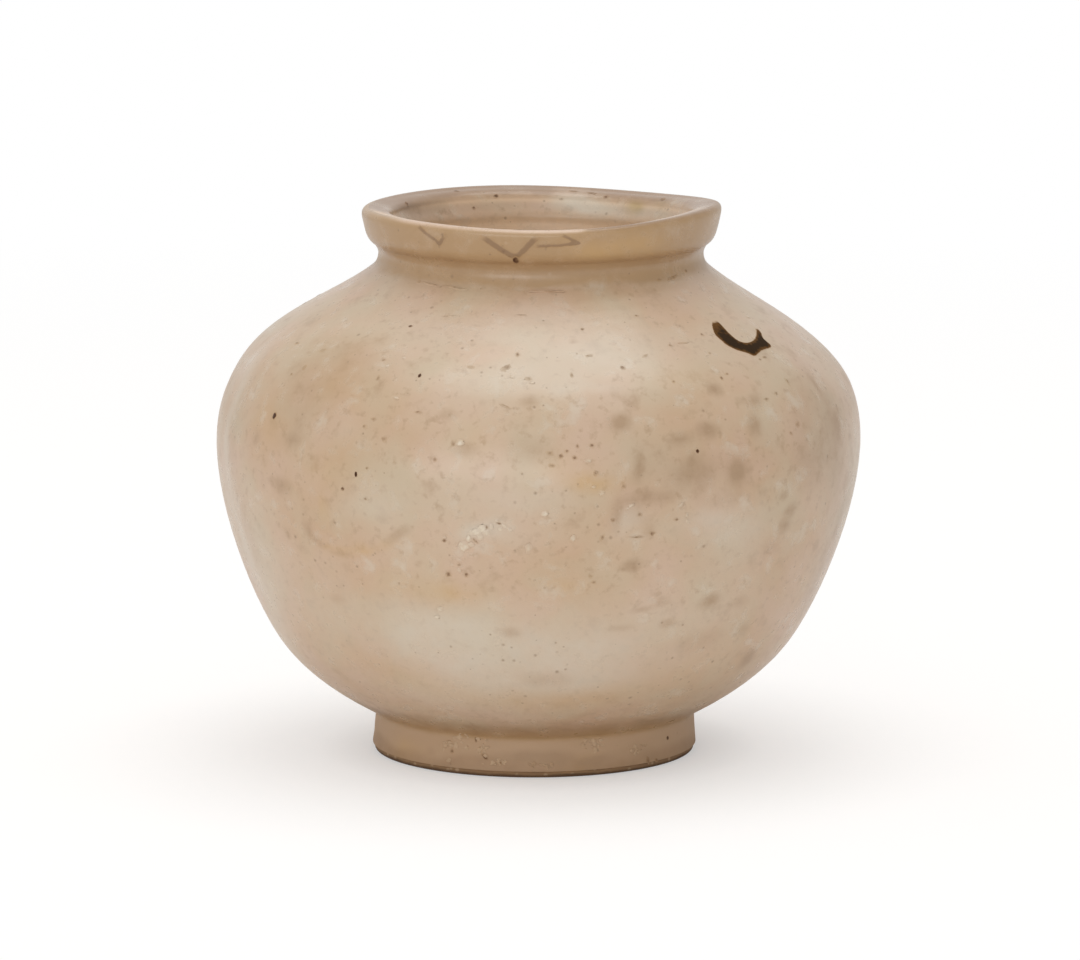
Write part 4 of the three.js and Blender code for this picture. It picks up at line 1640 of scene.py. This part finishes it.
    def tone_lip(self, mesh: bpy.types.Mesh) -> None:
        """Marks the lip of the inner glaze, with painted shade on the far lip's top, its iron-brown edge,
        and
        painted light: a painted highlight on the front lip, and lifted colour in the crease under the lip
        and in the throat, where it is palest.

        Args:
            mesh: The inner coat's mesh.
        """
        rows = []
        for vert, along in zip(mesh.vertices, mesh.attributes["along"].data):
            place = vert.co / MM
            below = along.value
            # The far lip's top is painted darker: painted shade on its upward face
            far = smooth_step(*self.far_lip, place.y)
            lip = far * (1 - smooth_step(self.lip_shade_reach / 2, self.lip_shade_reach, below))
            lip *= 1 - self.lip_corner.share(place.x)
            sway = self.inner_line_sway * noise.noise(place / self.inner_line_sway_size)
            line = 1 - smooth_step(self.inner_line_starts, self.lip_line, below + sway)
            brown = max(smooth_step(*self.far_side, place.y), smooth_step(*self.right_lip, place.x))
            worn = self.worn_lip_inside * line * brown
            # Painted light: a painted highlight inside the front of the lip, and lifted colour in the
            # crease and the throat
            pale = self.front_highlight_inside * (1 - far) * (1 - smooth_step(*self.front_highlight_width, below))
            pale *= 1 - smooth_step(*self.front_highlight_right, place.x)
            rows.append((lip, worn, max(pale, self.lip_crease_light.share(below), self.throat.share(below))))
        for tone, values in zip((Tone.LIP_AND_HIGHLIGHT, Tone.EDGE, Tone.THIN), np.array(rows).T):
            write_tone(mesh, tone, values)

    def mark_outside(self, surface: Surface) -> None:
        """Marks the outer glaze as the photograph shows it, and the sides and back in the same manner.

        Args:
            surface: The outer coat's surface.
        """
        chance = random.Random(self.seed)
        places = vertex_places(surface.mesh)
        # Milk and stain marks here include painted highlights, reflections, light and shade
        for tone, seen, smallest, largest, drift in (
            (Tone.MILK_AND_LIGHT, MILK_AND_LIGHT_MARKS, 12, 26, 2.0),
            (Tone.OCHRE, OCHRE_MARKS, 6, 18, 1.4),
            (Tone.STAIN_AND_SHADE, STAIN_AND_SHADE_MARKS, 2.5, 8, 0.8),
        ):
            points = drifted(places, drift, self.drift_size)
            points = drifted(points, self.fine_drift * drift, self.fine_drift_size)
            unseen = self.unseen.marks(surface, chance, self.unseen_marks, smallest, largest)
            write_tone(surface.mesh, tone, blotted(points, surface.place(seen) + unseen))


@dataclass(frozen=True)
class Bead:
    """Cross-section of a small thing on the glaze: radius, height and pigment of each point.

    The radius and the height are shares of the thing's half width.
    """

    section: tuple[tuple[float, float, float], ...]
    lift: float = 0.01
    unevenness: float = 0.12


# A burst bubble has a low rim and an iron-brown hollow
BURST_BUBBLE = Bead(
    ((0, 0.02, 1.0), (0.34, 0.05, 0.9), (0.66, 0.06, 0.45), (1.0, 0.0, 0.0), (0, -0.1, 0.0)),
    unevenness=0.28)
# An iron spot is a flat dark drop, a blister a pale dome, and a grain of sand stands up highest
IRON_SPOT = Bead(((0, 0.1, 1.2), (0.5, 0.09, 1.2), (0.8, 0.05, 0.6), (1.0, 0.0, 0.0), (0, -0.1, 0.0)))
BLISTER = Bead(((0, 0.16, 0.9), (0.45, 0.14, 0.8), (0.8, 0.07, 0.35), (1.0, 0.0, 0.0), (0, -0.15, 0.0)),
               unevenness=0.3)
GRIT = Bead(((0, 0.35, 1.0), (0.5, 0.3, 1.0), (0.85, 0.14, 0.6), (1.0, 0.0, 0.0), (0, -0.15, 0.0)),
            unevenness=0.35)


@dataclass
class KilnMarks:
    """Burst bubbles, iron spots, blisters and sand on the glaze, each as its own small shape."""

    surface: Surface
    sides: int = 9
    seed: int = 11
    weld: float = 0.002
    unseen: Scatter = Scatter((8, 172), (12, 84), (0.6, 1.2), (0.35, 0.8), (-40, 40))
    grains_at_least: int = 4
    grain_widths: tuple[float, float] = (0.35, 1.0)
    grain_flatness: tuple[float, float] = (0.5, 1)
    grain_turns: tuple[float, float] = (-60, 60)
    crowding: float = 0.25

    def scatter(self, count: int, smallest: float, largest: float) -> list[PlacedMark]:
        """Returns a count of marks on the sides and the back, between two widths in millimetres."""
        return self.unseen.marks(self.surface, random.Random(self.seed + count), count, smallest, largest)

    def crumble(self, crusts: tuple[Mark, ...], scale: float) -> list[PlacedMark]:
        """Breaks crusts up into loose crowds of grains.

        Args:
            crusts: Where the photograph shows crusts, and their sizes.
            scale: The photograph's pixels in a millimetre.

        Returns:
            The placed grains.
        """
        chance = random.Random(self.seed)
        grains = []
        for crust in crusts:
            for _ in range(round(self.grains_at_least + crust.width * crust.height)):
                x = crust.x + chance.gauss(0, self.crowding) * crust.width * scale
                y = crust.y + chance.gauss(0, self.crowding) * crust.height * scale
                width = chance.uniform(*self.grain_widths)
                grain = Mark(x, y, width, width * chance.uniform(*self.grain_flatness), 1.0,
                             chance.uniform(*self.grain_turns))
                point, normal = self.surface.seen_at(x, y)
                if point is not None:
                    grains.append(self.surface.spread_mark(point, normal, grain))
        return grains

    def build(self, name: str, bead: Bead, marks: list[PlacedMark], material: bpy.types.Material,
              slot: str) -> bpy.types.Object:
        """Makes one piece of all the marks of a kind.

        Args:
            name: The piece's name.
            bead: The shape of each.
            marks: Where they are and how strong, which scales their pigment.
            material: Their finish.
            slot: The record's material slot that they belong to.

        Returns:
            The piece.
        """
        chance = random.Random(self.seed)
        bm = bmesh.new()
        pigment = bm.verts.layers.float.new(PIGMENT)
        for mark in marks:
            first = len(bm.verts)
            verts = []
            for radius, height, strength in bead.section:
                verts.append(bm.verts.new((radius, 0, height)))
                verts[-1][pigment] = strength * mark.strength
            edges = [bm.edges.new(pair) for pair in zip(verts, verts[1:])]
            bmesh.ops.spin(bm, geom=verts + edges, cent=(0, 0, 0), axis=UP, angle=FULL_TURN,
                           steps=self.sides, use_merge=True)
            bm.verts.ensure_lookup_table()
            bead_verts = bm.verts[first:]
            size = mark.outward.length
            axes = Matrix((mark.across, mark.upward, mark.outward)).transposed()
            for vert in bead_verts:
                wide = 1 + chance.uniform(-bead.unevenness, bead.unevenness)
                shaped = Vector((vert.co.x * wide, vert.co.y * wide, vert.co.z))
                vert.co = mark.middle + axes @ shaped + mark.outward / size * bead.lift
        bmesh.ops.remove_doubles(bm, verts=bm.verts, dist=self.weld)
        bmesh.ops.recalc_face_normals(bm, faces=bm.faces)
        piece = finish_piece(bm, name, material, slot, sharp=80)
        self.surface.match_tones(piece.data)
        return piece


def through(points: list[Vector], steps: int) -> list[Vector]:
    """Samples a smooth curve that passes through points.

    Args:
        points: The points, in order.
        steps: How many steps the whole curve has.

    Returns:
        The sampled points, both ends included.
    """
    ends = [2 * points[0] - points[1], *points, 2 * points[-1] - points[-2]]
    samples = []
    for k in range(steps + 1):
        place = k / steps * (len(points) - 1)
        first = min(int(place), len(points) - 2)
        t = place - first
        before, start, end, after = ends[first:first + 4]
        samples.append(0.5 * (
            2 * start + (end - before) * t + (2 * before - 5 * start + 4 * end - after) * t ** 2
            + (3 * start - before - 3 * end + after) * t ** 3))
    return samples


@dataclass(frozen=True)
class Stroke:
    """A brush mark between two edges, in millimetres to the right and up along the glaze."""

    name: str
    node: str
    slot: str
    left: list[Vector]
    right: list[Vector]

    @classmethod
    def line(cls, name: str, node: str, width: float, reach: float,
             places: tuple[tuple[float, float], ...]) -> "Stroke":
        """Returns a thin line that a brush has drawn through a few places of the rim.

        Args:
            name: The stroke's name.
            node: The CAD node that it stands for.
            width: The brush's width in millimetres.
            reach: How far round the rim the stroke is to the right.
            places: The places, each to the right and up in millimetres.

        Returns:
            The stroke.
        """
        points = [at(reach + right, up) for right, up in places]
        return cls(name, node, "thin_iron_paint", thicken(points, -width / 2), thicken(points, width / 2))


# Inner and outer edge of the crescent on the shoulder, in millimetres to the right and up
CRESCENT = Stroke(
    "crescent_mark", "iron_crescent", "dark_iron_paint",
    [at(right, up) for right, up in (
        (-2.4, 6.8), (-2.4, 5.7), (-2.7, 4.2), (-2.9, 2.9), (-2.9, 1.5), (-2.6, 0.5), (-1.7, -0.1),
        (-0.5, -0.3), (1.1, -0.1), (3.0, 0.6), (4.5, 1.4), (5.4, 2.0), (5.8, 2.5),
    )],
    [at(right, up) for right, up in (
        (-3.8, 6.8), (-5.4, 5.3), (-6.7, 3.3), (-6.9, 1.7), (-6.8, 0.0), (-5.6, -1.7), (-3.8, -2.9),
        (-2.7, -3.8), (0.6, -3.0), (4.8, -2.6), (5.0, -0.4), (6.2, 1.0), (6.8, 2.3),
    )],
)

# Zigzags on the front of the rim, round the rim from the middle one
RIM_STROKES = (
    Stroke.line("left_rim_mark", "rim_stroke_left", 1.0, -14,
                ((-5.0, 2.4), (-2.9, 1.1), (-1.0, 0.2), (0.0, -0.4), (1.3, 1.3))),
    Stroke.line("middle_rim_mark", "rim_stroke_middle", 1.4, 0,
                ((-5.4, 1.7), (-3.3, 0.3), (-1.2, -1.1), (0.8, -2.1), (2.1, -1.2), (3.5, 0.3), (5.2, 2.1))),
    Stroke.line("right_rim_mark", "rim_stroke_right", 0.9, 9.3,
                ((0.0, 2.2), (1.5, 1.5), (2.7, 0.6), (0.3, 0.2), (-2.4, 0.1), (-4.9, 0.0))),
)


@dataclass
class BrushWork:
    """The iron-painted crescent on the shoulder and the three faint strokes on the rim."""

    surface: Surface
    face: GlazeFace
    glaze: AshGlaze
    crescent_azimuth: float = -34.0
    crescent_share: float = 0.61
    rim_azimuth: float = -100.0
    rim_height: float = 1.5
    thickness: float = 0.14
    lift: float = 0.03
    crown: float = 0.04
    full_within: float = 0.25
    crown_within: float = 0.5
    end_share: float = 0.25
    steps_along: int = 64
    steps_across: int = 10

    def build(self, shape: JarShape) -> None:
        """Makes the strokes, laid on the glaze.

        Args:
            shape: The jar's outline.
        """
        # The crescent is nearly black and dry, and the strokes on the rim are a brown haze in the glaze
        dark = IronPaint("iron_paint_thick", self.glaze, core="#33220f", edge="#6e4a22", thick_from=3.4,
                         raggedness=0.5, roughness=0.35, specular=0.05).material()
        faint = IronPaint("iron_paint_thin", self.glaze, core="#7b5c40", edge="#96744f", cover=0.6,
                          full_from=1.2, thick_from=1.6).material()
        belly = self.face.reach(shape.upper_base)
        neck = self.face.reach(shape.upper_top)
        self.lay(CRESCENT, belly + self.crescent_share * (neck - belly), self.crescent_azimuth, dark)
        band = self.face.reach(shape.rim_base + shape.rim_undercut)
        for stroke in RIM_STROKES:
            self.lay(stroke, band + self.rim_height, self.rim_azimuth, faint)

    def lay(self, stroke: Stroke, reach: float, azimuth: float,
            material: bpy.types.Material) -> None:
        """Makes one stroke as a thin closed film that follows the glaze.

        Args:
            stroke: The stroke's edges.
            reach: How far along the glaze's outline the stroke's middle is.
            azimuth: The direction in which the stroke's middle lies, in degrees.
            material: The stroke's paint.
        """
        left_edge = through(stroke.left, self.steps_along)
        right_edge = through(stroke.right, self.steps_along)
        bm = bmesh.new()
        pigment = bm.verts.layers.float.new(PIGMENT)
        grid = bmesh.ops.create_grid(bm, x_segments=self.steps_along, y_segments=self.steps_across, size=1)
        for vert in grid["verts"]:
            share = (vert.co.x + 1) / 2
            across = (vert.co.y + 1) / 2
            step = round(share * self.steps_along)
            spot = left_edge[step].lerp(right_edge[step], across)
            width = (right_edge[step] - left_edge[step]).length
            side = min(across, 1 - across) * width
            end = min(share, 1 - share) * self.steps_along * self.end_share
            vert[pigment] = min(side / self.full_within, end)
            place = self.face.place(reach + spot.y, azimuth, spot.x)
            crown = self.crown * smooth_step(0, self.crown_within, side)
            vert.co = self.surface.lay(place, self.lift + crown)
        under = bmesh.ops.extrude_face_region(bm, geom=bm.faces[:])
        for vert in under["geom"]:
            if isinstance(vert, bmesh.types.BMVert):
                vert.co = self.surface.lay(vert.co, self.lift - self.thickness)
        bmesh.ops.recalc_face_normals(bm, faces=bm.faces)
        piece = finish_piece(bm, stroke.name, material, stroke.slot, (stroke.node,), sharp=80)
        self.surface.match_tones(piece.data)


@dataclass(frozen=True)
class Softbox:
    """A rectangular studio light: its place and target in metres, its size and its radiance."""

    name: str
    place: tuple[float, float, float]
    size: tuple[float, float]
    radiance: float
    target: tuple[float, float, float] = (0.0, 0.0, 0.05)

    def build(self) -> None:
        """Makes the light."""
        lamp = bpy.data.lights.new(self.name, "AREA")
        lamp.shape = "RECTANGLE"
        lamp.size, lamp.size_y = self.size
        lamp.energy = self.radiance * math.pi * self.size[0] * self.size[1]
        light = bpy.data.objects.new(self.name, lamp)
        light.location = self.place
        aim = Vector(self.target) - Vector(self.place)
        light.rotation_euler = aim.to_track_quat("-Z", "Y").to_euler()
        bpy.context.scene.collection.objects.link(light)


@dataclass
class Studio:
    """A white table and backdrop under soft light, as bright as the colours are written."""

    surroundings: float = 0.76
    mirrored: float = 0.9
    left_share: float = 1.02
    right_share: float = 0.72
    screens_from: float = 0.35
    side_share: float = 0.8
    table_radius: float = 6.0
    table_sides: int = 96
    table_drop: float = 0.00005
    table_colour: str = "#fbf9f7"
    seen_colour: str = "#c4c2c0"
    glow: float = 0.515
    glow_in_painted_shadow: float = 0.42
    glow_from: float = 0.029
    glow_by: float = 0.042
    white_from: float = 0.3
    white_by: float = 0.7
    softboxes: tuple[Softbox, ...] = (
        Softbox("overhead_softbox", (0.06, 0.08, 1.25), (0.85, 1.04), 1.85),
        Softbox("front_panel", (-0.6, -2.2, 0.35), (2.4, 0.7), 1.95),
    )

    def build(self) -> None:
        """Makes the lights, the surroundings and the table."""
        for softbox in self.softboxes:
            softbox.build()
        self.light_surroundings()
        self.lay_table()

    def light_surroundings(self) -> None:
        """Makes a white room, darker at its sides and on its right, that the camera sees as plain white."""
        world = bpy.data.worlds.new("white_room")
        world.use_nodes = True
        tree = world.node_tree
        tree.nodes.clear()
        rays = add_node(tree, "ShaderNodeLightPath")
        towards = add_node(tree, "ShaderNodeTexCoord").outputs["Generated"]
        sideways = add_node(tree, "ShaderNodeSeparateXYZ", {0: towards}).outputs["X"]
        level = add_node(tree, "ShaderNodeMapRange", {
            "Value": rays.outputs["Is Glossy Ray"], "To Min": self.surroundings, "To Max": self.mirrored})
        share = add_node(tree, "ShaderNodeMapRange", {
            "Value": sideways, "From Min": -1.0, "From Max": 1.0, "To Min": self.left_share,
            "To Max": self.right_share})
        aside = add_node(tree, "ShaderNodeMath", {0: sideways}, operation="ABSOLUTE")
        screened = add_node(tree, "ShaderNodeMapRange", {
            "Value": aside.outputs[0], "From Min": self.screens_from, "From Max": 1.0, "To Min": 1.0,
            "To Max": self.side_share})
        shared = add_node(tree, "ShaderNodeMath", {
            0: share.outputs[0], 1: screened.outputs[0]}, operation="MULTIPLY")
        lit = add_node(tree, "ShaderNodeMath", {
            0: level.outputs[0], 1: shared.outputs[0]}, operation="MULTIPLY")
        strength = add_node(tree, "ShaderNodeMath", {
            0: lit.outputs[0], 1: rays.outputs["Is Camera Ray"]}, operation="MAXIMUM")
        white = add_node(tree, "ShaderNodeBackground", {"Color": WHITE, "Strength": strength.outputs[0]})
        add_node(tree, "ShaderNodeOutputWorld", {"Surface": white.outputs[0]})
        bpy.context.scene.world = world

    def lay_table(self) -> None:
        """Makes a wide matt table that keeps the jar's soft shadow, deepened by painted shadow close round
        the foot, and is plain white farther away.
        """
        material, tree = new_material("white_table")
        rays = add_node(tree, "ShaderNodeLightPath")
        place = add_node(tree, "ShaderNodeTexCoord").outputs["Object"]
        distance = add_node(tree, "ShaderNodeVectorMath", {0: place}, operation="LENGTH")
        far = add_node(tree, "ShaderNodeMapRange", {
            "Value": distance.outputs["Value"], "From Min": self.white_from, "From Max": self.white_by})
        white = add_node(tree, "ShaderNodeMath", {
            0: rays.outputs["Is Camera Ray"], 1: far.outputs[0]}, operation="MULTIPLY")
        # Close round the foot the glow is lowered: painted shadow that deepens the contact shadow
        clear = add_node(tree, "ShaderNodeMapRange", {
            "Value": distance.outputs["Value"], "From Min": self.glow_from, "From Max": self.glow_by,
            "To Min": self.glow_in_painted_shadow, "To Max": self.glow})
        glow = add_node(tree, "ShaderNodeMath", {
            0: rays.outputs["Is Camera Ray"], 1: clear.outputs[0]}, operation="MULTIPLY")
        colour = add_node(tree, "ShaderNodeMix", {
            0: rays.outputs["Is Camera Ray"], MIX_FIRST: linear(self.table_colour),
            MIX_SECOND: linear(self.seen_colour)}, data_type="RGBA")
        paper = add_node(tree, "ShaderNodeBsdfDiffuse", {"Color": colour.outputs[MIX_RESULT]})
        lifting = add_node(tree, "ShaderNodeEmission", {"Color": WHITE, "Strength": glow.outputs[0]})
        lifted = add_node(tree, "ShaderNodeAddShader", {0: paper.outputs[0], 1: lifting.outputs[0]})
        plain = add_node(tree, "ShaderNodeEmission", {"Color": WHITE, "Strength": 1.0})
        seen = add_node(tree, "ShaderNodeMixShader", {
            0: white.outputs[0], 1: lifted.outputs[0], 2: plain.outputs[0]})
        add_node(tree, "ShaderNodeOutputMaterial", {"Surface": seen.outputs[0]})
        bm = bmesh.new()
        bmesh.ops.create_circle(bm, cap_ends=True, segments=self.table_sides, radius=self.table_radius)
        bmesh.ops.translate(bm, vec=(0, 0, -self.table_drop), verts=bm.verts)
        mesh = bpy.data.meshes.new("table")
        bm.to_mesh(mesh)
        bm.free()
        mesh.materials.append(material)
        table = bpy.data.objects.new("table", mesh)
        bpy.context.scene.collection.objects.link(table)


def main() -> None:
    """Builds the jar and its studio."""
    logging.basicConfig(level=logging.INFO, format="%(asctime)s %(name)s: %(message)s")
    bpy.context.scene.view_settings.view_transform = "Standard"
    camera = PhotoCamera()
    camera.build()
    shape = JarShape()
    throwing = Throwing(shape)
    ClayBody(shape, throwing).build()
    outside, inside, face = GlazeCoat(shape, throwing, camera).build()
    glaze = AshGlaze()
    BrushWork(outside, face, glaze).build(shape)
    # Specks of iron are darkest, burst bubbles are brown scars, blisters are paler than the glaze
    brown = IronPaint("iron_spots", glaze, core="#472c1a", edge="#7f6046", full_from=0.75, thick_from=1.1,
                      raggedness=0.55, specular=0.15).material()
    scar = IronPaint("burst_bubble_scars", glaze, core="#5f4330", edge="#8b6d51", full_from=0.75,
                     thick_from=1.1, raggedness=0.6, specular=0.15).material()
    pale = IronPaint("glaze_blisters", glaze, core="#e0d3bf", edge="#d6c5ad", raggedness=0.6).material()
    sand = FiredStoneware(name="kiln_grit", body="#cbb091", scorched="#b39576", grain_size=1.0).material()
    mouth = IronPaint("mouth_scars", INNER_ASH, core="#5f4330", edge="#7d5f47", full_from=0.75,
                      thick_from=1.1, raggedness=0.6, specular=0.15).material()
    kiln = KilnMarks(outside)
    spots = outside.place(IRON_MARKS) + kiln.scatter(9, 0.8, 1.5)
    bubbles = outside.place(PIT_MARKS) + kiln.scatter(70, 0.7, 1.6)
    blisters = outside.place(BLISTER_MARKS) + kiln.scatter(12, 1.0, 2.0)
    grains = kiln.crumble(GRIT_MARKS, camera.pixels_per_mm)
    kiln.build("iron_spots", IRON_SPOT, spots, brown, "outer_glaze")
    kiln.build("burst_bubbles", BURST_BUBBLE, bubbles, scar, "outer_glaze")
    kiln.build("blisters", BLISTER, blisters, pale, "outer_glaze")
    kiln.build("kiln_grit", GRIT, grains, sand, "foot_clay")
    KilnMarks(inside).build("mouth_spots", BURST_BUBBLE, inside.place(MOUTH_SPECKS), mouth, "inner_glaze")
    Studio().build()


if __name__ == "__main__":
    main()
